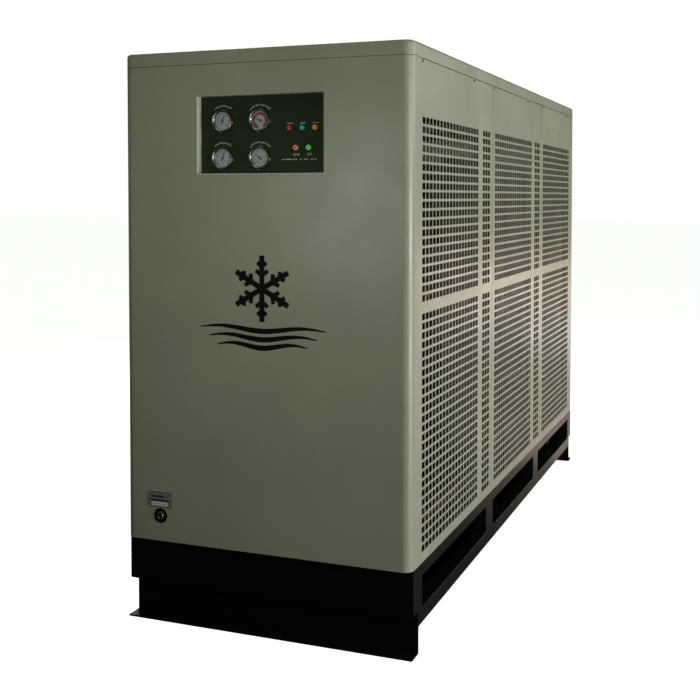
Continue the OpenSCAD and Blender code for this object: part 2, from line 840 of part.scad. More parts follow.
module moisture_separator() {
    color([0.35, 0.37, 0.4]) translate([sep_x, at(side_port_at), 0]) difference() {
        union() {
            translate([0, 0, sep_z[0]]) cylinder(r = sep_r, h = sep_z[1] - sep_z[0]);
            translate([0, 0, sep_z[1] - 1]) cylinder(r = pipe_r, h = 41);
            translate([0, 0, sep_z[0] - 40]) cylinder(r = 15, h = 41);
            translate([stub_end - sep_x, 0, eva_z]) rotate([0, 90, 0])
                cylinder(r = pipe_r, h = sep_x - stub_end);
            for (a = [90, 210, 330])
                rotate([0, 0, a]) translate([105, 0, base_h])
                    cylinder(r = 12, h = sep_z[0] - base_h + 1);
        }
        translate([0, 0, sep_z[0] + hx_t]) cylinder(r = sep_r - hx_t, h = sep_z[1] - sep_z[0] - 2 * hx_t);
        translate([0, 0, sep_z[1] - 20]) cylinder(r = pipe_r - pipe_t, h = 62);
        translate([stub_end - sep_x - 1, 0, eva_z]) rotate([0, 90, 0])
            cylinder(r = pipe_r - pipe_t, h = sep_x - stub_end);
    }
}

// Flanged inlet and outlet pipes through the rear panel
module air_connections() {
    color([0.4, 0.42, 0.44]) for (s = [-1, 1]) difference() {
        union() {
            rod_y(hx_x, pre_z + s * air_port_dz, pipe_r, hx_d[1] + 40, body_d + pipe_out);
            rod_y(hx_x, pre_z + s * air_port_dz, flange_r,
                  body_d + pipe_out - flange_t, body_d + pipe_out);
        }
        rod_y(hx_x, pre_z + s * air_port_dz, pipe_r - pipe_t, hx_d[1] + 39, body_d + pipe_out + 1);
        for (i = [0 : 7])
            rod_y(hx_x + flange_pcd / 2 * cos(22.5 + i * 45),
                  pre_z + s * air_port_dz + flange_pcd / 2 * sin(22.5 + i * 45),
                  flange_hole_r, body_d + pipe_out - flange_t - 1, body_d + pipe_out + 1);
    }
}

module air_transfer_pipes() {
    color([0.4, 0.42, 0.44]) {
        hollow_run([[hx_x, hx_d[0] - 40, pre_z], [hx_x, hx_d[0] - 180, pre_z],
                    [hx_x, hx_d[0] - 180, eva_z], [hx_x, hx_d[0] - 40, eva_z]], pipe_r, pipe_t, 130);
        hollow_run([[sep_x, side_port_at, sep_z[1] + 40], [sep_x, side_port_at, pre_z],
                    [stub_end, side_port_at, pre_z]], pipe_r, pipe_t, 150);
    }
}

// Discharge, condensate, liquid and suction lines
module refrigerant_lines() {
    color([0.72, 0.4, 0.25]) {
        run([[comp[0] + comp_r, comp[1], 740], [120, comp[1], 740], [120, comp[1], 1600],
             [120, 1014, 1600], [412, 1014, 1600], [412, 1014, coil_z[1] + 20]], 14, 50);
        run([[liquid_x, 1054, coil_z[0] - 20], [liquid_x, 1054, liquid_z],
             [liquid_x, receiver[1], liquid_z],
             [receiver[0] + receiver_r, receiver[1], liquid_z]], 11, 50);
        run([[receiver[0], receiver[1], receiver_z + 490], [receiver[0], receiver[1], 900],
             [receiver[0], 420, 900]], 11, 50);
        run([[receiver[0], 600, 900], [receiver[0], 760, 900],
             [60, 760, 900], [60, 1454, 900]], 11, 50);
        run([[60, 1514, 900], [60, 1594, 900], [150, 1594, 900], [150, feed_at, 900],
             [150, feed_at, eva_z], [stub_end, feed_at, eva_z]], 11, 40);
        run([[hx_x, suction_at, eva_z + 240], [hx_x, suction_at, eva_z + 300],
             [-300, suction_at, eva_z + 300], [-300, comp[1], eva_z + 300],
             [-300, comp[1], 600], [comp[0] - comp_r, comp[1], 600]], 17.5, 50);
    }
}

module expansion_valve() {
    color([0.7, 0.55, 0.3]) {
        block([35, 1454, 875], [85, 1514, 925]);
        translate([60, at(1484), 925]) cylinder(r = 12, h = 20);
        translate([60, at(1484), 944]) cylinder(r = 30, h = 16);
    }
}

// ---------- electrics ----------
module electrical_box() {
    color([0.55, 0.56, 0.54]) difference() {
        block([-box_x, box_d[0], box_z[0]], [box_x, box_d[1], box_z[1]]);
        block([-box_x + 2, box_d[0] + 2, box_z[0] + 2], [box_x - 2, box_d[1] + 1, box_z[1] - 2]);
    }
}

module electrical_cover() {
    color([0.58, 0.59, 0.57]) block([-box_x, box_d[1], box_z[0]], [box_x, box_d[1] + 2, box_z[1]]);
}

module cable_gland() {
    color([0.08, 0.08, 0.09]) difference() {
        union() {
            rod_y(gland_x, gland_z, gland_r, body_d - 12, body_d + 2);
            translate([gland_x, at(body_d), gland_z]) rotate([-90, 0, 0])
                cylinder(r = 19, h = 7, $fn = 6);
            rod_y(gland_x, gland_z, 14, body_d + 6, body_d + 24);
            translate([gland_x, at(body_d - sheet_t - 6), gland_z]) rotate([-90, 0, 0])
                cylinder(r = 18, h = 6, $fn = 6);
        }
        rod_y(gland_x, gland_z, 8, body_d - 13, body_d + 25);
    }
}

base_side_frames();
end_skirts();
end_feet();
base_cross_beams();
deck_plate();
cabinet_frame();
front_panel();
rear_panel();
right_panel_front();
right_panel_middle();
right_panel_rear();
left_panels();
panel_webs();
top_cover();
panel_screws();
control_recess();
control_plate();
gauge_cases();
gauge_dials();
gauge_glasses();
pointer_evaporating();
pointer_condensing();
pointer_air_pressure();
pointer_dew_point();
pilot_bezels();
lamp_red();
lamp_green();
lamp_amber();
stop_button();
start_button();
switch_blocks();
label_plate();
drain_grommet();
drain_outlet();
drain_tube();
compressor();
compressor_mounts();
liquid_receiver();
filter_drier();
condenser_core();
condenser_frame();
fan_shroud();
fan_motors();
fan_rotor_upper();
fan_rotor_lower();
precooler_shell();
evaporator_shell();
moisture_separator();
air_connections();
air_transfer_pipes();
refrigerant_lines();
expansion_valve();
electrical_box();
electrical_cover();
drain_timer_valve();
timer_knob_interval();
timer_knob_open();
drain_ball_valve();
drain_valve_lever();
cable_gland();
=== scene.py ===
import math
import random

import bmesh
import bpy
from mathutils import Matrix, Vector


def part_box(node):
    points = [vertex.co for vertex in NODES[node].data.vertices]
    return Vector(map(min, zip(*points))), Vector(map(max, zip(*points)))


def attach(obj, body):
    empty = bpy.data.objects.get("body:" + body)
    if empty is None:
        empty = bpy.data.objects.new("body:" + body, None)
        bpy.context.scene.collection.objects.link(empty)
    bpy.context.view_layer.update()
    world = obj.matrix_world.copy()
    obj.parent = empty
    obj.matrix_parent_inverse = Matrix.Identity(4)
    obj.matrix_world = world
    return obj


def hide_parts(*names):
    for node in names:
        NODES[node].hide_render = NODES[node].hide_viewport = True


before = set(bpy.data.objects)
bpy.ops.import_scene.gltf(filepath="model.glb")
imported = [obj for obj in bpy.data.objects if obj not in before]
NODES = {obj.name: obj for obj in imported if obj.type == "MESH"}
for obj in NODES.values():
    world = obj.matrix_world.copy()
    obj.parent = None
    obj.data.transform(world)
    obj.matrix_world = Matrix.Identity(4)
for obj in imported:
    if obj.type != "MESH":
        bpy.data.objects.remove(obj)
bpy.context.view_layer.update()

# ---------- sizes that the CAD source also states, in metres ----------
CORNER_R = 0.030
SHEET = 0.002
HOLE_W, HOLE_H = 0.030, 0.020
COL_PITCH, ROW_PITCH = 0.0366, 0.028
ROWS_LOW, ROWS_HIGH = 26, 20
FIRST_ROW_Z = 0.307
COLS_WIDE, COLS_NARROW = 18, 3
WIDE_AT = (0.116, 1.015, 1.916)
NARROW_AT = (0.834, 1.736, None)
GAUGE_R = 0.0345
PILOT_R = 0.010
SCREW_AT = (0.021, 0.614)
SCREW_R = 0.0045
DRAIN_HOLE_R = 0.021
FLANGE_R = 0.125
FLANGE_HOLE_R = 0.076
GLAND_HOLE_R = 0.0125

# ---------- sizes that only this script uses, in metres or degrees ----------
WRAP = 0.0786  # 0.6 mm more than in the CAD source, for a narrower seam
EDGE_ROLL = 0.003
GAUGE_TAB = 0.0374
PRINT_THICK = 0.00008
SMOOTH_ANGLE = 35
CIRCLE_STEPS = 48
CORNER_STEPS = 8
QUARTER_STEPS = 6

FRONT_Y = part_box("front_panel")[0].y
REAR_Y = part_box("rear_panel")[1].y
HALF_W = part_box("front_panel")[1].x
BASE_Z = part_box("front_panel")[0].z
PANEL_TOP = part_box("front_panel")[1].z


# ---------- materials ----------
def srgb(r, g, b):
    """Linear colour from 0-255 display values."""
    def lin(c):
        c /= 255
        return c / 12.92 if c <= 0.04045 else ((c + 0.055) / 1.055) ** 2.4
    return (lin(r), lin(g), lin(b), 1.0)


def darker(color, share):
    """The colour with a share of its light taken away."""
    return (*(c * (1 - share) for c in color[:3]), 1.0)


class Shader:
    """A small helper that adds and links the nodes of one material."""

    def __init__(self, name):
        self.mat = bpy.data.materials.new(name)
        self.mat.use_nodes = True
        self.tree = self.mat.node_tree
        self.bsdf = self.tree.nodes["Principled BSDF"]
        self.coord = self.add("ShaderNodeTexCoord").outputs["Object"]

    def add(self, kind, **values):
        n = self.tree.nodes.new(kind)
        for key, v in values.items():
            setattr(n, key, v)
        return n

    def link(self, a, b):
        self.tree.links.new(a, b)

    def feed(self, socket, v):
        """Links a socket to v, or sets it when v is a plain value."""
        if isinstance(v, bpy.types.NodeSocket):
            self.link(v, socket)
        else:
            socket.default_value = v

    def noise(self, scale, detail, stretch=None):
        n = self.add("ShaderNodeTexNoise")
        n.inputs["Scale"].default_value = scale
        n.inputs["Detail"].default_value = detail
        n.inputs["Roughness"].default_value = 0.55
        source = self.coord
        if stretch:
            m = self.add("ShaderNodeMapping")
            m.inputs["Scale"].default_value = stretch
            self.link(source, m.inputs["Vector"])
            source = m.outputs["Vector"]
        self.link(source, n.inputs["Vector"])
        return n.outputs["Fac"]

    def ramp(self, fac, stops):
        """Colour that runs between two stops."""
        r = self.add("ShaderNodeValToRGB")
        for e, (pos, col) in zip(r.color_ramp.elements, stops):
            e.position = pos
            e.color = col
        self.link(fac, r.inputs["Fac"])
        return r.outputs["Color"]

    def map(self, fac, lo, hi, to_lo, to_hi):
        m = self.add("ShaderNodeMapRange")
        for key, v in (("From Min", lo), ("From Max", hi), ("To Min", to_lo), ("To Max", to_hi)):
            m.inputs[key].default_value = v
        self.link(fac, m.inputs["Value"])
        return m.outputs["Result"]

    def mix(self, a, b, fac, blend="MIX"):
        m = self.add("ShaderNodeMix", data_type="RGBA", blend_type=blend)
        for socket, v in ((m.inputs[0], fac), (m.inputs[6], a), (m.inputs[7], b)):
            self.feed(socket, v)
        return m.outputs[2]

    def math(self, operation, *values):
        m = self.add("ShaderNodeMath", operation=operation)
        for socket, v in zip(m.inputs, values):
            self.feed(socket, v)
        return m.outputs[0]

    def bump(self, height, strength, distance):
        b = self.add("ShaderNodeBump")
        b.inputs["Strength"].default_value = strength
        b.inputs["Distance"].default_value = distance
        self.link(height, b.inputs["Height"])
        self.link(b.outputs["Normal"], self.bsdf.inputs["Normal"])

    def set(self, **values):
        """Feeds sockets of the Principled shader, with _ for each space in a socket's name."""
        for key, v in values.items():
            self.feed(self.bsdf.inputs[key.replace("_", " ")], v)


def powder_coat(name, color, spread=0.06, rough=(0.34, 0.46), coat=0.0, dust=0.0, shine=0.5):
    """Powder-coated sheet: faint tone drift, orange peel and, low down, a little dust."""
    s = Shader(name)
    dark = darker(color, spread)
    light = tuple(min(1.0, c * (1 + spread)) for c in color)
    base = s.ramp(s.noise(2.2, 4), [(0.35, dark), (0.65, light)])
    speck = s.ramp(s.noise(420, 2), [(0.3, (0.93, 0.93, 0.93, 1)), (0.7, (1, 1, 1, 1))])
    base = s.mix(base, speck, 1.0, "MULTIPLY")
    if dust:
        sep = s.add("ShaderNodeSeparateXYZ")
        s.link(s.coord, sep.inputs[0])
        low = s.map(sep.outputs["Z"], 0.0, 0.5, dust, 0.0)
        cloud = s.math("MULTIPLY", low, s.noise(9, 5))
        base = s.mix(base, srgb(120, 112, 98), cloud)
    s.set(Base_Color=base, Roughness=s.map(s.noise(6, 4), 0.3, 0.7, *rough))
    s.set(Coat_Weight=coat, Coat_Roughness=0.2, Specular_IOR_Level=shine)
    s.bump(s.noise(650, 2), 0.10, 0.0004)
    return s.mat


def metal(name, color, rough=(0.2, 0.35), stretch=None, scale=60, bump=0.05):
    """Bare or plated metal with drawn or cast texture."""
    s = Shader(name)
    base = s.ramp(s.noise(scale * 0.3, 4, stretch), [(0.3, darker(color, 0.18)), (0.7, color)])
    s.set(Base_Color=base, Metallic=1.0)
    s.set(Roughness=s.map(s.noise(scale, 4, stretch), 0.3, 0.7, *rough))
    s.bump(s.noise(scale * 3, 3, stretch), bump, 0.0003)
    return s.mat


def plastic(name, color, rough=(0.35, 0.5), grain=900, bump=0.08, glow=0.0, clear=0.0, shine=0.5):
    """Moulded plastic or rubber with a fine grain."""
    s = Shader(name)
    base = s.ramp(s.noise(25, 3), [(0.3, darker(color, 0.15)), (0.7, color)])
    s.set(Base_Color=base, Roughness=s.map(s.noise(40, 3), 0.3, 0.7, *rough))
    s.set(Transmission_Weight=clear, Specular_IOR_Level=shine)
    if glow:
        s.set(Emission_Color=color, Emission_Strength=glow)
    s.bump(s.noise(grain, 2), bump, 0.0003)
    return s.mat


def gauge_glass(name):
    """Flat glass that lets light through to the dial and mirrors at a glancing view."""
    s = Shader(name)
    clear = s.add("ShaderNodeBsdfTransparent")
    gloss = s.add("ShaderNodeBsdfGlossy")
    s.link(s.map(s.noise(90, 3), 0.3, 0.7, 0.02, 0.07), gloss.inputs["Roughness"])
    fresnel = s.add("ShaderNodeFresnel")
    fresnel.inputs["IOR"].default_value = 1.45
    m = s.add("ShaderNodeMixShader")
    s.link(fresnel.outputs[0], m.inputs[0])
    s.link(clear.outputs[0], m.inputs[1])
    s.link(gloss.outputs[0], m.inputs[2])
    out = next(n for n in s.tree.nodes if n.type == "OUTPUT_MATERIAL")
    s.link(m.outputs[0], out.inputs["Surface"])
    s.tree.nodes.remove(s.bsdf)
    return s.mat


CABINET = powder_coat("cabinet_powder_coat", srgb(146, 146, 127), dust=0.12)
FRAME_PAINT = powder_coat("frame_powder_coat", srgb(52, 52, 46))
# Paler copy of the cabinet paint for the bottom and left walls of the control recess: painted highlight
# where light falls on them.
RECESS_PAINTED_HIGHLIGHT = powder_coat("recess_painted_highlight", srgb(178, 182, 170))
SKID = powder_coat("skid_black_paint", srgb(8, 8, 7), 0.1, (0.45, 0.55), shine=0.1)
RAIL = powder_coat("skid_rail_paint", srgb(14, 12, 12), 0.1, (0.26, 0.34), shine=0.45)
CONTROL = powder_coat("control_plate_print", srgb(33, 44, 23), 0.05, (0.5, 0.6), shine=0.15)
INK_GREY = plastic("label_ink_grey", srgb(196, 204, 192), (0.5, 0.6))
INK_BLUE = plastic("label_ink_blue_grey", srgb(196, 202, 212), (0.5, 0.6))
MARK_RED = plastic("label_ink_red", srgb(96, 36, 38), (0.5, 0.6))
INK_DARK = plastic("emblem_vinyl", srgb(12, 14, 13), (0.5, 0.6), shine=0.08)
INK_BLACK = plastic("dial_ink_black", srgb(18, 18, 20), (0.5, 0.6))
INK_RED = plastic("dial_ink_red", srgb(166, 58, 48), (0.5, 0.6))
CHROME = metal("bezel_chrome", srgb(158, 162, 146), (0.16, 0.26), None, 120, 0.02)
HUB = metal("gauge_hub_polished", srgb(220, 222, 224), (0.15, 0.25), None, 120, 0.02)
DIAL = plastic("dial_enamel", srgb(196, 204, 210), (0.45, 0.55), 600, 0.02)
GLASS = gauge_glass("gauge_glass")
BLACK_METAL = metal("pointer_black", srgb(30, 30, 32), (0.4, 0.5))
SCREW = metal("screw_black_oxide", srgb(46, 45, 42), (0.35, 0.5))
LENS_RED = plastic("lens_red", srgb(176, 34, 26), (0.12, 0.2), 300, 0.02, 0.10, 0.15)
LENS_GREEN = plastic("lens_green", srgb(20, 150, 116), (0.12, 0.2), 300, 0.02, 0.12, 0.15)
LENS_AMBER = plastic("lens_amber", srgb(206, 132, 30), (0.12, 0.2), 300, 0.02, 0.12, 0.15)
# The stop and start caps glow faintly though they hold no lamp: painted light that brightens them.
BUTTON_STOP = plastic("button_orange", srgb(226, 132, 92), (0.18, 0.28), 300, 0.02, 0.16)
BUTTON_START = plastic("button_green", srgb(104, 206, 96), (0.18, 0.28), 300, 0.02, 0.2)
BLACK_PLASTIC = plastic("black_plastic", srgb(24, 24, 26))
GREY_PLASTIC = plastic("grey_plastic", srgb(92, 92, 96))
RUBBER = plastic("black_rubber", srgb(9, 10, 10), (0.6, 0.75), 1200, 0.15, shine=0.08)
LABEL = powder_coat("label_film", srgb(120, 116, 116), 0.03, (0.4, 0.5))
LABEL_EDGE = powder_coat("label_film_border", srgb(92, 89, 88), 0.03, (0.4, 0.5))
NICKEL = metal("nickel_fitting", srgb(140, 150, 132), (0.3, 0.4))
BRASS = metal("brass", srgb(196, 156, 84), (0.2, 0.35))
COPPER = metal("copper_tube", srgb(132, 88, 68), (0.22, 0.36), (1, 1, 8), 40)
COIL_TUBE = metal("coil_tube_tarnished", srgb(84, 74, 66), (0.35, 0.5), (1, 1, 8), 40)
HOSE = plastic("blue_hose", srgb(28, 70, 140), (0.2, 0.3))
ENAMEL = powder_coat("black_enamel", srgb(24, 26, 28), 0.1, (0.18, 0.28), 0.4)
DRIER = powder_coat("drier_enamel", srgb(32, 78, 150), 0.1, (0.2, 0.3), 0.3)
VESSEL = powder_coat("vessel_enamel", srgb(80, 80, 86), 0.1, (0.25, 0.38), 0.2)
FINS = metal("fin_aluminium", srgb(104, 95, 100), (0.3, 0.42), (1, 20, 1), 60)
ZINC = metal("zinc_sheet", srgb(126, 122, 126), (0.35, 0.5), None, 30, 0.03)
FOAM = plastic("black_foam", srgb(26, 26, 27), (0.75, 0.9), 400, 0.5)
FAN_BLACK = plastic("fan_black", srgb(28, 28, 30), (0.35, 0.5))
LEVER_RED = plastic("lever_vinyl", srgb(170, 30, 24), (0.25, 0.35))


# ---------- mesh helpers ----------
def new_object(name, bm, mat):
    """Turns a bmesh into an object of the scene with one material."""
    mesh = bpy.data.meshes.new(name)
    bm.to_mesh(mesh)
    bm.free()
    mesh.materials.append(mat)
    obj = bpy.data.objects.new(name, mesh)
    bpy.context.scene.collection.objects.link(obj)
    return obj


def finish_mesh(name, bm, mat, body="root", smooth=SMOOTH_ANGLE, replaces=()):
    """Turns a bmesh into a piece that rides on a body. Edges sharper than smooth stay sharp."""
    bmesh.ops.remove_doubles(bm, verts=bm.verts, dist=1e-6)
    bmesh.ops.recalc_face_normals(bm, faces=bm.faces)
    obj = new_object(name, bm, mat)
    if smooth:
        obj.data.shade_smooth()
        obj.data.set_sharp_from_angle(angle=math.radians(smooth))
    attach(obj, body)
    if replaces:
        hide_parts(*replaces)
    return obj


def add_box(bm, lo, hi):
    """Adds a box between two corners and returns its vertices."""
    made = bmesh.ops.create_cube(bm, size=1.0)["verts"]
    lo, hi = Vector(lo), Vector(hi)
    bmesh.ops.scale(bm, vec=hi - lo, verts=made)
    bmesh.ops.translate(bm, vec=(lo + hi) / 2, verts=made)
    return made


def add_lathe(bm, profile, where, steps=CIRCLE_STEPS, closed=False):
    """Turns (radius, height) points about local Z and places them with the matrix where."""
    rings = []
    for r, h in profile:
        if r < 1e-7:
            rings.append([bm.verts.new(where @ Vector((0, 0, h)))])
        else:
            rings.append([bm.verts.new(where @ Vector((r * math.cos(a), r * math.sin(a), h)))
                          for a in (2 * math.pi * i / steps for i in range(steps))])
    pairs = list(zip(rings, rings[1:])) + ([(rings[-1], rings[0])] if closed else [])
    for a, b in pairs:
        for i in range(steps):
            j = (i + 1) % steps
            if len(a) == 1 and len(b) > 1:
                bm.faces.new((a[0], b[i], b[j]))
            elif len(b) == 1 and len(a) > 1:
                bm.faces.new((a[i], a[j], b[0]))
            elif len(a) > 1:
                bm.faces.new((a[i], a[j], b[j], b[i]))


def add_tube(bm, points, r, sides):
    """Sweeps a round rod along points."""
    pts = [Vector(p) for p in points]
    rings = []
    up = Vector((0, 0, 1))
    for i, p in enumerate(pts):
        d = (pts[min(i + 1, len(pts) - 1)] - pts[max(i - 1, 0)]).normalized()
        side = d.cross(up)
        if side.length < 0.01:
            side = d.cross(Vector((1, 0, 0)))
        side.normalize()
        other = d.cross(side)
        rings.append([bm.verts.new(p + r * (math.cos(a) * side + math.sin(a) * other))
                      for a in (2 * math.pi * k / sides for k in range(sides))])
    for a, b in zip(rings, rings[1:]):
        for k in range(sides):
            bm.faces.new((a[k], a[(k + 1) % sides], b[(k + 1) % sides], b[k]))
    bm.faces.new(rings[0][::-1])
    bm.faces.new(rings[-1])


def facing(axis, at):
    """Matrix that puts local Z along axis, at a point."""
    return Matrix.Translation(at) @ Vector(axis).to_track_quat("Z", "Y").to_matrix().to_4x4()


def soften(node, width):
    """Rounds the edges of a CAD node without touching its mesh."""
    obj = NODES[node]
    weld = obj.modifiers.new("weld", "WELD")
    weld.merge_threshold = 2e-5
    bev = obj.modifiers.new("soft_edges", "BEVEL")
    bev.width = width
    bev.segments = 2
    bev.limit_method = "ANGLE"
    bev.angle_limit = math.radians(SMOOTH_ANGLE)
    shade = obj.modifiers.new("even_normals", "WEIGHTED_NORMAL")
    shade.keep_sharp = True


def paint(node, mat):
    """Gives a CAD node its only material."""
    obj = NODES[node]
    obj.data.materials.clear()
    obj.data.materials.append(mat)


# ---------- punched side sheets ----------
def punched_sheet(name, node, index, side, replaced):
    """One side sheet with its rows and columns of real holes. side is +1 right, -1 left."""
    lo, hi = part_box(node)
    starts = [(WIDE_AT[index], COLS_WIDE)]
    if NARROW_AT[index]:
        starts.append((NARROW_AT[index], COLS_NARROW))
    holes_y = []
    for first, count in starts:
        for c in range(count):
            mid = FRONT_Y + first + c * COL_PITCH
            holes_y.append((mid - HOLE_W / 2, mid + HOLE_W / 2))
    rows = list(range(ROWS_LOW)) + [ROWS_LOW + 1 + i for i in range(ROWS_HIGH)]
    holes_z = []
    for r in rows:
        mid = FIRST_ROW_Z + r * ROW_PITCH
        holes_z.append((mid - HOLE_H / 2, mid + HOLE_H / 2))
    ys = [lo.y] + [v for pair in holes_y for v in pair] + [hi.y]
    zs = [lo.z] + [v for pair in holes_z for v in pair] + [hi.z]
    outer, inner = side * HALF_W, side * (HALF_W - SHEET)
    bm = bmesh.new()
    grid = [[[bm.verts.new((x, y, z)) for z in zs] for y in ys] for x in (outer, inner)]
    ny, nz = len(ys) - 1, len(zs) - 1

    def solid(i, j):
        return 0 <= i < ny and 0 <= j < nz and not (i % 2 == 1 and j % 2 == 1)

    for i in range(ny):
        for j in range(nz):
            if not solid(i, j):
                continue
            for layer in (0, 1):
                g = grid[layer]
                bm.faces.new((g[i][j], g[i + 1][j], g[i + 1][j + 1], g[i][j + 1]))
            for di, dj, a, b in ((-1, 0, (i, j), (i, j + 1)), (1, 0, (i + 1, j), (i + 1, j + 1)),
                                 (0, -1, (i, j), (i + 1, j)), (0, 1, (i, j + 1), (i + 1, j + 1))):
                if not solid(i + di, j + dj):
                    o, n = grid
                    bm.faces.new((o[a[0]][a[1]], o[b[0]][b[1]], n[b[0]][b[1]], n[a[0]][a[1]]))
    for v in [v for v in bm.verts if not v.link_faces]:
        bm.verts.remove(v)
    return finish_mesh(name, bm, CABINET, smooth=0, replaces=replaced)


def side_sheets():
    """Three sheets on the right and the same three, mirrored, on the left."""
    right = ("right_panel_front", "right_panel_middle", "right_panel_rear")
    for i, node in enumerate(right):
        punched_sheet(node + "_punched", node, i, 1, (node, "panel_webs") if i == 0 else (node,))
        punched_sheet(node.replace("right", "left") + "_punched", node, i, -1, ("left_panels",))


# ---------- wrapped end panels ----------
def wrapped_panel(name, node, front, circles, rect=None):
    """Front or rear sheet with rounded corners that runs round onto both sides, and its cut-outs."""
    s = 1 if front else -1
    face_y = FRONT_Y if front else REAR_Y
    flat = HALF_W - CORNER_R
    z0, z1 = BASE_Z, PANEL_TOP
    bm = bmesh.new()
    loops = [[(-flat, z0), (flat, z0), (flat, z1), (-flat, z1)]]
    if rect:
        (x0, low), (x1, high) = rect
        r = EDGE_ROLL
        corners = ((x1 - r, high - r), (x0 + r, high - r), (x0 + r, low + r), (x1 - r, low + r))
        loops.append([(cx + r * math.cos(a), cz + r * math.sin(a)) for q, (cx, cz) in enumerate(corners)
                      for a in (math.pi / 2 * (q + k / 4) for k in range(5))])
    for cx, cz, r in circles:
        turns = [math.tau * k / CIRCLE_STEPS for k in range(CIRCLE_STEPS)]
        loops.append([(cx + r * math.cos(a), cz + r * math.sin(a)) for a in turns])
    edges = []
    for loop in loops:
        vs = [bm.verts.new((x, face_y, z)) for x, z in loop]
        edges += [bm.edges.new((a, b)) for a, b in zip(vs, vs[1:] + vs[:1])]
    bmesh.ops.triangle_fill(bm, edges=edges, use_beauty=True, normal=(0, -s, 0))
    steps = 12
    for sx in (-1, 1):
        path = [(sx * (flat + CORNER_R * math.sin(a)), face_y + s * CORNER_R * (1 - math.cos(a)))
                for a in (math.pi / 2 * k / steps for k in range(steps + 1))]
        path.append((sx * HALF_W, face_y + s * WRAP))
        cols = [[bm.verts.new((x, y, z)) for z in (z0, z1)] for x, y in path]
        for a, b in zip(cols, cols[1:]):
            bm.faces.new((a[0], b[0], b[1], a[1]))
    bmesh.ops.remove_doubles(bm, verts=bm.verts, dist=1e-6)
    bmesh.ops.recalc_face_normals(bm, faces=bm.faces)
    largest = max(bm.faces, key=lambda f: f.calc_area())
    if largest.normal.y * s > 0:
        bmesh.ops.reverse_faces(bm, faces=bm.faces)
    obj = new_object(name, bm, CABINET)
    obj.data.shade_smooth()
    solid = obj.modifiers.new("thickness", "SOLIDIFY")
    solid.thickness = SHEET
    solid.offset = -1
    solid.use_even_offset = True
    with bpy.context.temp_override(object=obj, active_object=obj, selected_objects=[obj]):
        bpy.ops.object.modifier_apply(modifier="thickness")
    obj.data.set_sharp_from_angle(angle=math.radians(SMOOTH_ANGLE))
    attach(obj, "root")
    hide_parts(node)


def quarter_turn():
    """Angles in equal steps from 0 to 90 degrees."""
    return [math.pi / 2 * k / QUARTER_STEPS for k in range(QUARTER_STEPS + 1)]


def rounded_loop(inset, z):
    """Plan outline of the cabinet, pulled in by inset, as points at height z."""
    r = CORNER_R - inset
    mid = (FRONT_Y + REAR_Y) / 2
    half_d = (REAR_Y - FRONT_Y) / 2
    pts = []
    for q, (sx, sy) in enumerate(((1, 1), (-1, 1), (-1, -1), (1, -1))):
        cx, cy = sx * (HALF_W - CORNER_R), mid + sy * (half_d - CORNER_R)
        pts += [(cx + r * math.cos(a), cy + r * math.sin(a), z)
                for a in (math.pi / 2 * (q + k / CORNER_STEPS) for k in range(CORNER_STEPS + 1))]
    return pts


def top_cover():
    """Folded lid with a rolled upper edge, open underneath."""
    lo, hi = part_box("top_cover")
    edge = 0.010
    outside = [(0.0, lo.z)]
    outside += [(edge * (1 - math.cos(a)), hi.z - edge + edge * math.sin(a))
                for a in quarter_turn()]
    inside = [(i + SHEET, min(z, hi.z - SHEET)) for i, z in outside][::-1]
    bm = bmesh.new()
    rings = [[bm.verts.new(p) for p in rounded_loop(i, z)] for i, z in outside + inside]
    count = len(rings[0])
    for n, (a, b) in enumerate(zip(rings, rings[1:] + rings[:1])):
        if n == len(outside) - 1:
            continue
        for i in range(count):
            j = (i + 1) % count
            bm.faces.new((a[i], a[j], b[j], b[i]))
    bm.faces.new(rings[len(outside) - 1])
    bm.faces.new(rings[len(outside)])
    finish_mesh("top_cover_folded", bm, CABINET, replaces=["top_cover"])


def recess_walls():
    """Folded walls of the control recess with a rolled edge where they meet the front. The bottom and left
    walls take a paler paint: a painted highlight where light falls on them.
    """
    lo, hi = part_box("control_recess")
    x0, x1, z0, z1 = lo.x + SHEET, hi.x - SHEET, lo.z + SHEET, hi.z - SHEET
    proud = 0.0002
    profile = [(EDGE_ROLL * (1 - math.sin(a)), FRONT_Y - proud + EDGE_ROLL * (1 - math.cos(a)))
               for a in quarter_turn()]
    profile += [(0.0, hi.y), (-SHEET, hi.y)]
    profile += [(-SHEET, FRONT_Y + SHEET + EDGE_ROLL), (-EDGE_ROLL - SHEET, FRONT_Y + SHEET)]
    bm = bmesh.new()
    rings = []
    for inset, y in profile:
        grow = abs(inset)
        left, right, bottom, top = x0 - grow, x1 + grow, z0 - grow, z1 + grow
        corners = ((left, bottom), (right, bottom), (right, top), (left, top))
        rings.append([bm.verts.new((x, y, z)) for x, z in corners])
    # Painted highlight: the bottom and left walls, with their rolled edge, take the pale paint in place of
    # the light that falls on them. The right and top walls keep the cabinet paint.
    pale, plain = 0, 1
    wall_materials = (pale, plain, plain, pale)  # bottom, right, top, left
    for a, b in zip(rings, rings[1:]):
        for i, material in enumerate(wall_materials):
            j = (i + 1) % 4
            bm.faces.new((a[i], a[j], b[j], b[i])).material_index = material
    walls = finish_mesh("control_recess_folded", bm, RECESS_PAINTED_HIGHLIGHT, replaces=["control_recess"])
    walls.data.materials.append(CABINET)


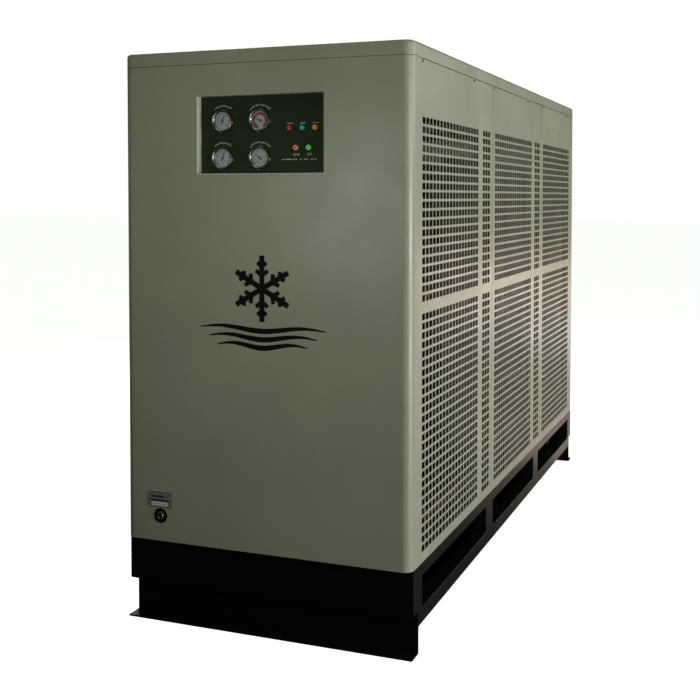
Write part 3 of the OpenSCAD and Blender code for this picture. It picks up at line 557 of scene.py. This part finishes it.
def end_panels():
    """The front sheet with the recess and the drain hole, and the rear sheet with its three ports."""
    recess_lo, recess_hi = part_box("control_recess")
    drain_lo, drain_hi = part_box("drain_grommet")
    drain = ((drain_lo.x + drain_hi.x) / 2, (drain_lo.z + drain_hi.z) / 2, DRAIN_HOLE_R)
    opening = ((recess_lo.x + SHEET - EDGE_ROLL, recess_lo.z + SHEET - EDGE_ROLL),
               (recess_hi.x - SHEET + EDGE_ROLL, recess_hi.z - SHEET + EDGE_ROLL))
    wrapped_panel("front_panel_sheet", "front_panel", True, [drain], opening)
    air_lo, air_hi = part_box("air_connections")
    gland_lo, gland_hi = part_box("cable_gland")
    x = (air_lo.x + air_hi.x) / 2
    ports = [(x, air_lo.z + FLANGE_R, FLANGE_HOLE_R), (x, air_hi.z - FLANGE_R, FLANGE_HOLE_R),
             ((gland_lo.x + gland_hi.x) / 2, (gland_lo.z + gland_hi.z) / 2, GLAND_HOLE_R)]
    wrapped_panel("rear_panel_sheet", "rear_panel", False, ports)


# ---------- control face ----------
PLATE_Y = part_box("control_plate")[0].y
GAUGE_LO, GAUGE_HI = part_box("gauge_cases")
GAUGE_XS = (GAUGE_LO.x + GAUGE_R, GAUGE_HI.x - GAUGE_R)
GAUGE_ZS = (GAUGE_HI.z - GAUGE_R, GAUGE_LO.z + GAUGE_R)
GAUGES = [(x, z) for z in GAUGE_ZS for x in GAUGE_XS]
LAMPS = (("lamp_red", LENS_RED, "lens_red"), ("lamp_green", LENS_GREEN, "lens_green"),
         ("lamp_amber", LENS_AMBER, "lens_amber"))
BUTTONS = (("stop_button", BUTTON_STOP, LENS_RED, "button_orange"),
           ("start_button", BUTTON_START, LENS_GREEN, "button_green"))
OUT = Vector((0, -1, 0))


def out_of_plate(x, z, lift=0.0):
    """Matrix with local Z towards the viewer and local X to the right, on the control plate."""
    return Matrix.Translation((x, PLATE_Y - lift, z)) @ Matrix.Rotation(math.radians(90), 4, "X")


def gauge_bodies():
    """Turned cases with a rolled bezel and four clamping tabs each."""
    profile = [(0.0, -0.052), (0.006, -0.052), (0.006, -0.033), (0.0305, -0.033), (0.031, -0.0325),
               (0.031, 0.0), (0.0346, 0.0), (0.0353, 0.0012), (0.0353, 0.0062), (0.0350, 0.0090),
               (0.0340, 0.0110), (0.0322, 0.0118), (0.0303, 0.0112), (0.0290, 0.0100), (0.0284, 0.0092),
               (0.0284, 0.0088), (0.0296, 0.0086), (0.0296, 0.0020), (0.0, 0.0020)]
    tab_lo, tab_hi = (-0.0042, 0.0325, 0.0012), (0.0042, GAUGE_TAB, 0.0060)
    tab_lean = 8
    bm = bmesh.new()
    for x, z in GAUGES:
        where = out_of_plate(x, z)
        add_lathe(bm, profile, where, 64)
        for k in range(4):
            turn = Matrix.Rotation(math.radians(90 * k - tab_lean), 4, "Z")
            bmesh.ops.transform(bm, matrix=where @ turn, verts=add_box(bm, tab_lo, tab_hi))
    finish_mesh("gauge_cases_turned", bm, CHROME, replaces=["gauge_cases"])


def ring_sector(bm, where, r0, r1, a0, a1, height, thick, steps):
    """A flat closed sector of a ring, angles clockwise from straight up in degrees."""
    turns = [math.radians(a0 + (a1 - a0) * k / steps) for k in range(steps + 1)]

    def point(r, a, h):
        return bm.verts.new(where @ Vector((r * math.sin(a), r * math.cos(a), h)))

    low, top = ([[point(r, a, h) for r in (r0, r1)] for a in turns] for h in (height, height + thick))
    for i in range(steps):
        bm.faces.new((top[i][0], top[i][1], top[i + 1][1], top[i + 1][0]))
        bm.faces.new((low[i][0], low[i + 1][0], low[i + 1][1], low[i][1]))
        for k in (0, 1):
            bm.faces.new((low[i][k], low[i + 1][k], top[i + 1][k], top[i][k]))
    for i in (0, steps):
        bm.faces.new((low[i][0], low[i][1], top[i][1], top[i][0]))


def digits(text, x, z, lift, size):
    """A dial number as a thin solid."""
    curve = bpy.data.curves.new("digits", "FONT")
    curve.body = text
    curve.size = size
    curve.align_x = "CENTER"
    curve.align_y = "CENTER"
    curve.extrude = 0.00005
    obj = bpy.data.objects.new("digits", curve)
    obj.matrix_world = out_of_plate(x, z, lift)
    bpy.context.scene.collection.objects.link(obj)
    bpy.context.view_layer.update()
    mesh = bpy.data.meshes.new_from_object(obj.evaluated_get(bpy.context.evaluated_depsgraph_get()))
    mesh.transform(obj.matrix_world)
    bpy.data.objects.remove(obj)
    return mesh


def gauge_dials():
    """Dial plates with their scales, numbers and coloured bands."""
    face, ink = 0.0035, 0.00012
    scale_r, line_r = 0.0240, 0.0244
    number_r, number_size = 0.0168, 0.0050
    ticks, ticks_to_major = 50, 10
    start, sweep = -135, 270
    ranges = ((0, 25, 5), (0, 40, 8), (0, 16, 4), (-20, 60, 20))
    plate = [(0.0016, 0.0022), (0.0290, 0.0022), (0.0294, 0.0026), (0.0294, face - 0.0002), (0.0291, face),
             (0.0016, face)]
    plain, black, red = bmesh.new(), bmesh.new(), bmesh.new()
    for g, ((x, z), (lo, hi, step)) in enumerate(zip(GAUGES, ranges)):
        where = out_of_plate(x, z)
        add_lathe(plain, plate, where, 64, closed=True)
        for k in range(ticks + 1):
            a = start + sweep * k / ticks
            width, inner_r = (0.45, 0.0222) if k % ticks_to_major else (1.1, 0.0206)
            ring_sector(black, where, inner_r, scale_r, a - width, a + width, face, ink, 1)
        ring_sector(black, where, scale_r, line_r, start - 1, start + sweep + 1, face, ink, 40)
        for v in range(lo, hi + 1, step):
            a = math.radians(start + sweep * (v - lo) / (hi - lo))
            mesh = digits(str(v), x + number_r * math.sin(a), z + number_r * math.cos(a), face, number_size)
            black.from_mesh(mesh)
            bpy.data.meshes.remove(mesh)
        if g == 1:
            ring_sector(red, where, 0.0172, 0.0254, -165, 150, face - 0.00004, ink * 0.8, 60)
        else:
            ring_sector(red, where, 0.0192, 0.0204, 70, 135, face, ink, 14)
    finish_mesh("gauge_dials_printed", plain, DIAL, replaces=["gauge_dials"])
    finish_mesh("gauge_scales", black, INK_BLACK, smooth=0)
    finish_mesh("gauge_bands", red, INK_RED, smooth=0)


def gauge_glasses():
    """Slightly domed glasses that sit inside the bezels."""
    profile = [(0, 0.0086), (0.0293, 0.0076), (0.0293, 0.0090), (0, 0.0101)]
    bm = bmesh.new()
    for x, z in GAUGES:
        add_lathe(bm, profile, out_of_plate(x, z))
    finish_mesh("gauge_glasses_domed", bm, GLASS, smooth=60, replaces=["gauge_glasses"])


def gauge_hubs():
    """Polished caps on the pointers' hubs."""
    profile = [(0, 0.0066), (0.0021, 0.0066), (0.0021, 0.0073), (0.0012, 0.0078), (0, 0.0079)]
    names = ("pointer_evaporating", "pointer_condensing", "pointer_air_pressure", "pointer_dew_point")
    for (x, z), node in zip(GAUGES, names):
        bm = bmesh.new()
        add_lathe(bm, profile, out_of_plate(x, z), 20)
        finish_mesh(node + "_cap", bm, HUB, body=node)


def pilots():
    """Bezel rings with their lenses and caps. Returns where the three lamps and two buttons are."""
    places = []
    for row in LAMPS + BUTTONS:
        lo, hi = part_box(row[0])
        places.append(((lo.x + hi.x) / 2, (lo.z + hi.z) / 2))
    bezel = [(0.00805, -0.005), (0.009, -0.005), (0.009, 0.0), (0.0102, 0.0), (PILOT_R, 0.0004),
             (PILOT_R, 0.0018), (0.0100, 0.0028), (0.0092, 0.0031), (0.0084, 0.0029), (0.00805, 0.0022)]
    lens = [(0, -0.005), (0.0079, -0.005), (0.0079, 0.0090), (0.0077, 0.0104), (0.0069, 0.0120),
            (0.0053, 0.0131), (0.0030, 0.0135), (0.0, 0.0135)]
    cap = [(0, -0.012), (0.004, -0.012), (0.004, -0.004), (0.0079, -0.004), (0.0079, 0.0055),
           (0.0074, 0.0069), (0.0064, 0.0075), (0.0045, 0.0070), (0.0, 0.0067)]
    insert = [(0, 0.0060), (0.0042, 0.0060), (0.0042, 0.0071), (0, 0.0074)]
    bm = bmesh.new()
    for x, z in places:
        add_lathe(bm, bezel, out_of_plate(x, z), closed=True)
    finish_mesh("pilot_bezels_turned", bm, BLACK_PLASTIC, replaces=["pilot_bezels"])
    for (x, z), (node, mat, slot) in zip(places, LAMPS):
        bm = bmesh.new()
        add_lathe(bm, lens, out_of_plate(x, z), 24)
        finish_mesh(node + "_lens", bm, mat, smooth=20, replaces=[node])
    # Painted light: the button caps glow faintly, and so do their centres, which use the lamp lens
    # materials, though no lamp is in the buttons.
    for (x, z), (node, mat, insert_mat, slot) in zip(places[len(LAMPS):], BUTTONS):
        bm = bmesh.new()
        add_lathe(bm, cap, out_of_plate(x, z), 40)
        finish_mesh(node + "_cap", bm, mat, body=node, replaces=[node])
        bm = bmesh.new()
        add_lathe(bm, insert, out_of_plate(x, z), 24)
        finish_mesh(node + "_centre", bm, insert_mat, body=node)
    return places


def greeked(bm, x0, x1, z, height, lift, seed, gap=0.25, heights=(1.0, 0.75, 0.75, 0.6)):
    """A line of small bars that stands for a printed line and spells nothing."""
    rng = random.Random(seed)
    x = x0
    while x < x1 - height * 0.4:
        w = height * rng.uniform(0.5, 1.3)
        w = min(w, x1 - x)
        h = height * rng.choice(heights)
        add_box(bm, (x, lift - PRINT_THICK, z), (x + w, lift, z + h))
        x += w + height * (gap if rng.random() < 0.8 else gap * 3)


def blocky(bm, x0, x1, z, height, lift, count):
    """Open boxes in a row that stand for a short printed word and spell nothing."""
    pitch = (x1 - x0) / count
    t = height * 0.16
    for k in range(count):
        a, b = x0 + k * pitch, x0 + (k + 0.75) * pitch
        add_box(bm, (a, lift - PRINT_THICK, z), (a + t, lift, z + height))
        add_box(bm, (a, lift - PRINT_THICK, z + height - t), (b, lift, z + height))
        add_box(bm, (b - t, lift - PRINT_THICK, z + height * 0.4 * (k % 2)), (b, lift, z + height))


def panel_printing(places):
    """Bars in place of all printing on the control plate: curved over the gauges, level elsewhere."""
    line_r, line_height = 0.0448, 0.0056
    crossbar_lifts, crossbar_height = (0.0, 0.0022, 0.0044), 0.0015
    bm = bmesh.new()
    for g, (x, z) in enumerate(GAUGES):
        rng = random.Random(11 + g)
        where = out_of_plate(x, z)
        half, count = ((38, 9), (48, 10))[g % 2]
        pitch = 2 * half / count
        stroke = pitch * 0.22
        for k in range(count):
            a = -half + pitch * (k + 0.12)
            ring_sector(bm, where, line_r, line_r + line_height, a, a + stroke, 0.0, PRINT_THICK, 1)
            bar = line_r + rng.choice(crossbar_lifts)
            bar_end = a + pitch * 0.6
            ring_sector(bm, where, bar, bar + crossbar_height, a + stroke, bar_end, 0.0, PRINT_THICK, 1)
    for i, (x, z) in enumerate(places[:3]):
        greeked(bm, x - 0.0092, x + 0.0098, z + 0.0128, 0.0030, PLATE_Y, 31 + i, 0.3)
    for i, (x, z) in enumerate(places[3:]):
        half = 0.0110 - 0.0025 * i
        blocky(bm, x + 0.002 - half, x + 0.002 + half, z - 0.0248, 0.0078, PLATE_Y, 3 - i)
    z = places[3][1] - 0.0377
    for i, (x0, x1) in enumerate(((0.0612, 0.1150), (0.1211, 0.1265), (0.1335, 0.1489), (0.1563, 0.1772))):
        greeked(bm, x0, x1, z + 0.0012, 0.0034, PLATE_Y, 51 + i, 0.35)
    finish_mesh("panel_greeked_labels", bm, INK_GREY, smooth=0)


def sticker():
    """A grey label with greeked lines, a small red mark and a pale field."""
    lo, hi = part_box("label_plate")
    y = lo.y
    bm = bmesh.new()
    add_box(bm, lo, hi)
    bmesh.ops.bevel(bm, geom=[e for e in bm.edges if abs(e.verts[0].co.y - e.verts[1].co.y) > 5e-4],
                    offset=0.003, segments=4, affect="EDGES")
    finish_mesh("label_plate_stamped", bm, LABEL_EDGE, replaces=["label_plate"])
    face, dark, red, blue = (bmesh.new() for _ in range(4))

    def field(bm, x0, x1, down0, down1, lift):
        add_box(bm, (lo.x + x0, y - lift, hi.z - down1), (lo.x + x1, y, hi.z - down0))

    field(face, 0.0040, 0.0820, 0.0040, 0.0466, 0.0001)
    field(blue, 0.0130, 0.0720, 0.0325, 0.0455, 0.0002)
    field(red, 0.0675, 0.0735, 0.0120, 0.0185, 0.0002)
    greeked(dark, lo.x + 0.012, lo.x + 0.061, hi.z - 0.0185, 0.0065, y - 0.0001, 61, 0.06, (1.0, 0.9))
    greeked(dark, lo.x + 0.009, lo.x + 0.077, hi.z - 0.0308, 0.0065, y - 0.0001, 62, 0.06, (1.0, 0.9))
    greeked(dark, lo.x + 0.018, lo.x + 0.066, hi.z - 0.0405, 0.0030, y - 0.0002, 63, 0.4)
    finish_mesh("label_face", face, LABEL, smooth=0)
    finish_mesh("label_field", blue, INK_BLUE, smooth=0)
    finish_mesh("label_mark", red, MARK_RED, smooth=0)
    finish_mesh("label_print", dark, INK_DARK, smooth=0)


def emblem():
    """A plain pictogram for cold air: a snowflake over three lines of moving air."""
    centre = Vector((0.0035, FRONT_Y, 1.086))
    y0 = FRONT_Y - 0.0003
    bm = bmesh.new()

    def bar(length, width, turn, at, lift):
        """One stroke. Each has a lift of its own, so that no two faces share a plane."""
        made = add_box(bm, (-width / 2, -lift, 0), (width / 2, FRONT_Y - y0, length))
        where = Matrix.Translation((at.x, y0, at.z)) @ Matrix.Rotation(turn, 4, "Y")
        bmesh.ops.transform(bm, matrix=where, verts=made)

    step = 0.00001
    for k in range(6):
        turn = math.radians(60 * k)
        lift = step * 5 * k
        bar(0.102, 0.017, turn, centre, lift)
        arm = Vector((math.sin(turn), 0, math.cos(turn)))
        for along, size in ((0.040, 0.026), (0.068, 0.020)):
            for side in (-1, 1):
                lift += step
                bar(size, 0.013, turn + side * math.radians(52), centre + arm * along, lift)
    steps, wave, widest = 48, 0.0065, 0.0082
    for row in range(3):
        z = 0.962 - 0.026 * row
        half = 0.213 - 0.030 * row
        cols = []
        for i in range(steps + 1):
            x = centre.x - half + 2 * half * i / steps
            mid = z + wave * math.sin(3 * math.pi * i / steps)
            thick = widest * math.sin(math.pi * (0.06 + 0.88 * i / steps))
            cols.append([bm.verts.new((x, y, mid + s * thick)) for s in (-1, 1) for y in (y0, FRONT_Y)])
        for a, b in zip(cols, cols[1:]):
            for i, j in ((0, 1), (1, 3), (3, 2), (2, 0)):
                bm.faces.new((a[i], a[j], b[j], b[i]))
        for c in (cols[0], cols[-1]):
            bm.faces.new((c[0], c[1], c[3], c[2]))
    finish_mesh("front_emblem", bm, INK_DARK, smooth=0)


def drain_port():
    """Rubber grommet and the turned outlet in it."""
    lo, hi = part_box("drain_grommet")
    where = facing(OUT, ((lo.x + hi.x) / 2, FRONT_Y, (lo.z + hi.z) / 2))
    grommet = [(0.0150, -0.009), (0.0205, -0.009), (0.0208, -0.001), (0.0236, -0.0001), (0.0240, 0.0008),
               (0.0234, 0.0022), (0.0215, 0.0030), (0.0178, 0.0029), (0.0158, 0.0016), (0.0150, 0.0)]
    outlet = [(0.0070, -0.030), (0.0149, -0.030), (0.0149, -0.0012), (0.0140, -0.0006), (0.0112, -0.0006),
              (0.0110, 0.0046), (0.0102, 0.0058), (0.0080, 0.0060), (0.0070, 0.0052)]
    bm = bmesh.new()
    add_lathe(bm, grommet, where, closed=True)
    finish_mesh("drain_grommet_moulded", bm, RUBBER, replaces=["drain_grommet"])
    bm = bmesh.new()
    add_lathe(bm, outlet, where, closed=True)
    finish_mesh("drain_outlet_turned", bm, NICKEL, replaces=["drain_outlet"])


def screws():
    """Domed heads with a small round socket, in the side panels."""
    lo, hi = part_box("panel_screws")
    z = (lo.z + hi.z) / 2
    head = [(0.0, 0.0012), (0.0008, 0.0012), (0.0010, 0.0025), (0.0028, 0.0021), (0.0040, 0.0011),
            (SCREW_R, 0.0), (0.0025, 0.0), (0.0025, -0.002), (0, -0.002)]
    bm = bmesh.new()
    for node in ("right_panel_front", "right_panel_middle", "right_panel_rear"):
        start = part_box(node)[0].y
        for along in SCREW_AT:
            for side in (-1, 1):
                where = facing((side, 0, 0), (side * HALF_W, start + along, z))
                add_lathe(bm, head, where, 20)
    finish_mesh("panel_screws_domed", bm, SCREW, replaces=["panel_screws"])


# ---------- inside ----------
def condenser():
    """Thin level fins crossed by two rows of upright tubes."""
    lo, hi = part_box("condenser_core")
    pitch, fin_thick = 0.006, 0.0004
    bm = bmesh.new()
    for k in range(int((hi.z - lo.z) / pitch)):
        z = lo.z + (k + 0.5) * pitch
        add_box(bm, (lo.x + 0.001, lo.y + 0.002, z), (hi.x - 0.001, hi.y - 0.002, z + fin_thick))
    finish_mesh("condenser_fins", bm, FINS, smooth=0, replaces=["condenser_core"])
    tubes, tube_r, from_end, from_face = 24, 0.0048, 0.02, 0.012
    bm = bmesh.new()
    for k in range(tubes):
        y = lo.y + from_end + (hi.y - lo.y - 2 * from_end) * k / (tubes - 1)
        for x in (lo.x + from_face, hi.x - from_face):
            add_tube(bm, [(x, y, lo.z), (x, y, hi.z)], tube_r, 10)
    finish_mesh("condenser_tubes", bm, COIL_TUBE)


def fan_beads():
    """Two wire beads round each fan opening, on the side towards the cabinet's middle."""
    lo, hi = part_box("fan_shroud")
    wire_r = 0.002
    x = lo.x - 0.0025
    y = (lo.y + hi.y) / 2
    turns = [math.tau * k / CIRCLE_STEPS for k in range(CIRCLE_STEPS + 1)]
    bm = bmesh.new()
    for node in ("fan_rotor_upper", "fan_rotor_lower"):
        z = sum(v.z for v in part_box(node)) / 2
        for r in (0.262, 0.268):
            add_tube(bm, [(x, y + r * math.cos(a), z + r * math.sin(a)) for a in turns], wire_r, 6)
    finish_mesh("fan_ring_beads", bm, ZINC)


def dome(r, rise, top, steps):
    """Profile of a shallow dished end, from its rim to its middle. top is the height of the rim."""
    ball = (r * r + rise * rise) / (2 * rise)
    angle = math.asin(r / ball)
    return [(ball * math.sin(a), top + rise - ball + ball * math.cos(a))
            for a in (angle * (1 - k / steps) for k in range(steps + 1))]


def compressor():
    """Pressed shell with two seams, on a square plate, with a terminal box on its side."""
    lo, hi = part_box("compressor")
    mount_lo, mount_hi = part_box("compressor_mounts")
    x, y = (mount_lo.x + mount_hi.x) / 2, (mount_lo.y + mount_hi.y) / 2
    r, corner, rise = 0.130, 0.03, 0.045
    plate_half, plate_thick = 0.15, 0.008
    box_half, box_depth, box_z = 0.055, 0.09, (0.560, 0.690)
    bottom = lo.z + plate_thick
    top = hi.z - rise
    profile = [(0, bottom)]
    profile += [(r - corner + corner * math.sin(a), bottom + corner - corner * math.cos(a))
                for a in quarter_turn()]
    for z in (bottom + 0.06, top - 0.05):
        profile += [(r, z - 0.006), (r + 0.003, z - 0.003), (r + 0.003, z + 0.003), (r, z + 0.006)]
    profile += dome(r, rise, top, 8)
    bm = bmesh.new()
    add_lathe(bm, profile, Matrix.Translation((x, y, 0)), 64)
    plate = add_box(bm, (x - plate_half, y - plate_half, lo.z), (x + plate_half, y + plate_half, bottom))
    box = add_box(bm, (x - box_half, lo.y, box_z[0]), (x + box_half, lo.y + box_depth, box_z[1]))
    edges = {e for v in plate + box for e in v.link_edges}
    bmesh.ops.bevel(bm, geom=list(edges), offset=0.003, segments=2, affect="EDGES")
    finish_mesh("compressor_pressed_shell", bm, ENAMEL, replaces=["compressor"])


def receiver():
    """Upright vessel on a ring foot, with a weld bead under its dished top."""
    lo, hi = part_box("liquid_receiver")
    x, y = (lo.x + hi.x) / 2, (lo.y + hi.y) / 2
    r, foot_r, rise, foot = 0.080, 0.06, 0.030, 0.041
    top = hi.z - rise
    profile = [(0, lo.z), (foot_r, lo.z), (foot_r, lo.z + foot), (0.074, lo.z + foot),
               (r, lo.z + foot + 0.006), (r, top - 0.03), (r + 0.002, top - 0.027),
               (r + 0.002, top - 0.021), (r, top - 0.018)]
    profile += dome(r, rise, top, 6)
    bm = bmesh.new()
    add_lathe(bm, profile, Matrix.Translation((x, y, 0)))
    finish_mesh("liquid_receiver_welded", bm, ENAMEL, replaces=["liquid_receiver"])


def carried_nodes():
    """CAD nodes whose shape is right: they keep their mesh and get a finish, and those given a width get
    softer edges.
    """
    finishes = {
        "base_side_frames": (RAIL, 0.0025), "end_skirts": (SKID, 0.0015), "end_feet": (SKID, 0.0015),
        "base_cross_beams": (SKID, 0), "deck_plate": (SKID, 0), "cabinet_frame": (FRAME_PAINT, 0),
        "control_plate": (CONTROL, 0), "switch_blocks": (BLACK_PLASTIC, 0.001),
        "pointer_evaporating": (BLACK_METAL, 0), "pointer_condensing": (BLACK_METAL, 0),
        "pointer_air_pressure": (BLACK_METAL, 0), "pointer_dew_point": (BLACK_METAL, 0),
        "drain_tube": (HOSE, 0), "compressor_mounts": (RUBBER, 0), "filter_drier": (DRIER, 0.003),
        "condenser_frame": (ZINC, 0.001), "fan_shroud": (ZINC, 0.001), "fan_motors": (FAN_BLACK, 0.002),
        "fan_rotor_upper": (FAN_BLACK, 0.0015), "fan_rotor_lower": (FAN_BLACK, 0.0015),
        "precooler_shell": (VESSEL, 0), "evaporator_shell": (FOAM, 0), "moisture_separator": (VESSEL, 0),
        "air_connections": (VESSEL, 0.0015), "air_transfer_pipes": (VESSEL, 0),
        "refrigerant_lines": (COPPER, 0), "expansion_valve": (BRASS, 0.001),
        "electrical_box": (ZINC, 0), "electrical_cover": (ZINC, 0), "cable_gland": (BLACK_PLASTIC, 0.0008),
        "drain_timer_valve": (BLACK_PLASTIC, 0.0015), "timer_knob_interval": (GREY_PLASTIC, 0.0005),
        "timer_knob_open": (GREY_PLASTIC, 0.0005), "drain_ball_valve": (BRASS, 0),
        "drain_valve_lever": (LEVER_RED, 0.001),
    }
    for node, (mat, width) in finishes.items():
        paint(node, mat)
        if width:
            soften(node, width)


# ---------- camera, floor and light ----------
def camera():
    """The camera that was fitted to the cabinet's edges in the photograph."""
    data = bpy.data.cameras.new("photo_camera")
    data.sensor_width = 36
    data.lens = 55.646
    data.shift_y = -0.1641
    data.clip_end = 100
    obj = bpy.data.objects.new("photo_camera", data)
    obj.location = (1.4587, FRONT_Y - 2.9763, 1.3656)
    obj.rotation_euler = (math.radians(88), 0, math.radians(21.389))
    bpy.context.scene.collection.objects.link(obj)
    bpy.context.scene.camera = obj


def area(name, at, target, size, energy, color):
    """A rectangular lamp that shines at a target and is not seen itself."""
    data = bpy.data.lights.new(name, "AREA")
    data.shape = "RECTANGLE"
    data.size, data.size_y = size
    data.energy = energy
    data.color = color
    obj = bpy.data.objects.new(name, data)
    obj.location = at
    obj.visible_camera = False
    obj.rotation_euler = (Vector(target) - Vector(at)).to_track_quat("-Z", "Y").to_euler()
    bpy.context.scene.collection.objects.link(obj)


def studio_floor():
    """Pale where the camera sees it, apart from a painted shadow under the front foot flange. Other rays
    meet a dim floor that gets lighter and warmer behind: a painted pool of light.
    """
    s = Shader("studio_floor")
    seen = s.add("ShaderNodeLightPath").outputs["Is Camera Ray"]
    pale = s.ramp(s.noise(0.6, 3), [(0.3, (0.80, 0.80, 0.79, 1)), (0.7, (0.84, 0.84, 0.83, 1))])
    split = s.add("ShaderNodeSeparateXYZ")
    s.link(s.coord, split.inputs[0])
    # Painted shadow: a strip of floor under the front foot flange is dark for camera rays too, so the floor
    # seen below the flange looks shaded.
    flange_mid, flange_half = FRONT_Y + 0.038, 0.028
    across = s.math("LESS_THAN", s.math("ABSOLUTE", split.outputs["X"]), HALF_W - 0.002)
    along = s.math("COMPARE", split.outputs["Y"], flange_mid, flange_half)
    outside_painted_shadow = s.math("SUBTRACT", 1.0, s.math("MULTIPLY", across, along))
    bright = s.math("MULTIPLY", seen, outside_painted_shadow)
    # Painted light for other rays: the floor is dim in front and turns lighter and warmer behind the
    # cabinet, a painted pool of light.
    behind = s.map(split.outputs["Y"], -0.2, 1.6, 0.0, 1.0)
    bounce = s.mix((0.05, 0.05, 0.045, 1), (0.95, 0.76, 0.68, 1), behind)
    s.set(Base_Color=s.mix(bounce, pale, bright), Roughness=0.8)
    s.set(Emission_Color=(1, 1, 1, 1), Emission_Strength=s.map(bright, 0, 1, 0.0, 0.9))
    half = 60
    bm = bmesh.new()
    bm.faces.new([bm.verts.new((x * half, y * half, 0)) for x, y in ((-1, -1), (1, -1), (1, 1), (-1, 1))])
    new_object("floor", bm, s.mat)


def studio_world():
    """White where the camera sees it, and dim and slightly green for all other rays."""
    world = bpy.data.worlds.new("studio")
    bpy.context.scene.world = world
    world.use_nodes = True
    tree = world.node_tree
    background = tree.nodes["Background"]
    background.inputs["Strength"].default_value = 1.0
    path = tree.nodes.new("ShaderNodeLightPath")
    tone = tree.nodes.new("ShaderNodeMix")
    tone.data_type = "RGBA"
    tone.inputs[6].default_value = (0.072, 0.106, 0.060, 1)
    tone.inputs[7].default_value = (1, 1, 1, 1)
    tree.links.new(path.outputs["Is Camera Ray"], tone.inputs[0])
    tree.links.new(tone.outputs[2], background.inputs["Color"])


def studio_lights():
    """Soft lamps round the object, the strongest on the right side that the photograph shows."""
    area("side_front", (5.2, -1.95, 0.85), (HALF_W, -1.2, 0.95), (2.2, 1.4), 206, (1.0, 1.0, 1.03))
    area("side_rear", (3.4, 1.4, 2.3), (HALF_W, 0.7, 1.7), (2.0, 0.8), 34, (1.0, 1.0, 1.03))
    area("side_glow", (1.9, 4.6, 0.6), (HALF_W, 0.2, 1.05), (0.5, 0.3), 9, (1.0, 0.70, 0.62))
    area("side_cool", (1.14, 4.6, 0.26), (HALF_W, 1.0, 0.7), (0.3, 0.3), 2.5, (0.86, 0.92, 1.0))
    area("front_fill", (-0.08, -2.6, 1.36), (-0.08, FRONT_Y, 1.28), (0.7, 0.5), 4.0, (0.97, 1.0, 0.93))
    area("corner_soft", (3.2, -3.2, 2.0), (HALF_W, FRONT_Y, 1.45), (0.5, 0.5), 9, (1.0, 1.0, 0.98))
    area("back_soft", (-2.6, 3.4, 3.4), (0, 0.2, 1.0), (2.4, 2.0), 160, (1.0, 0.97, 1.0))
    area("top_soft", (-0.1, -2.2, 3.5), (-0.1, -1.5, 1.5), (1.4, 0.6), 6, (1.0, 1.0, 0.86))


camera()
carried_nodes()
side_sheets()
end_panels()
recess_walls()
top_cover()
gauge_bodies()
gauge_dials()
gauge_hubs()
gauge_glasses()
panel_printing(pilots())
sticker()
emblem()
drain_port()
screws()
condenser()
fan_beads()
compressor()
receiver()
studio_floor()
studio_world()
studio_lights()
bpy.context.scene.view_settings.view_transform = "Standard"
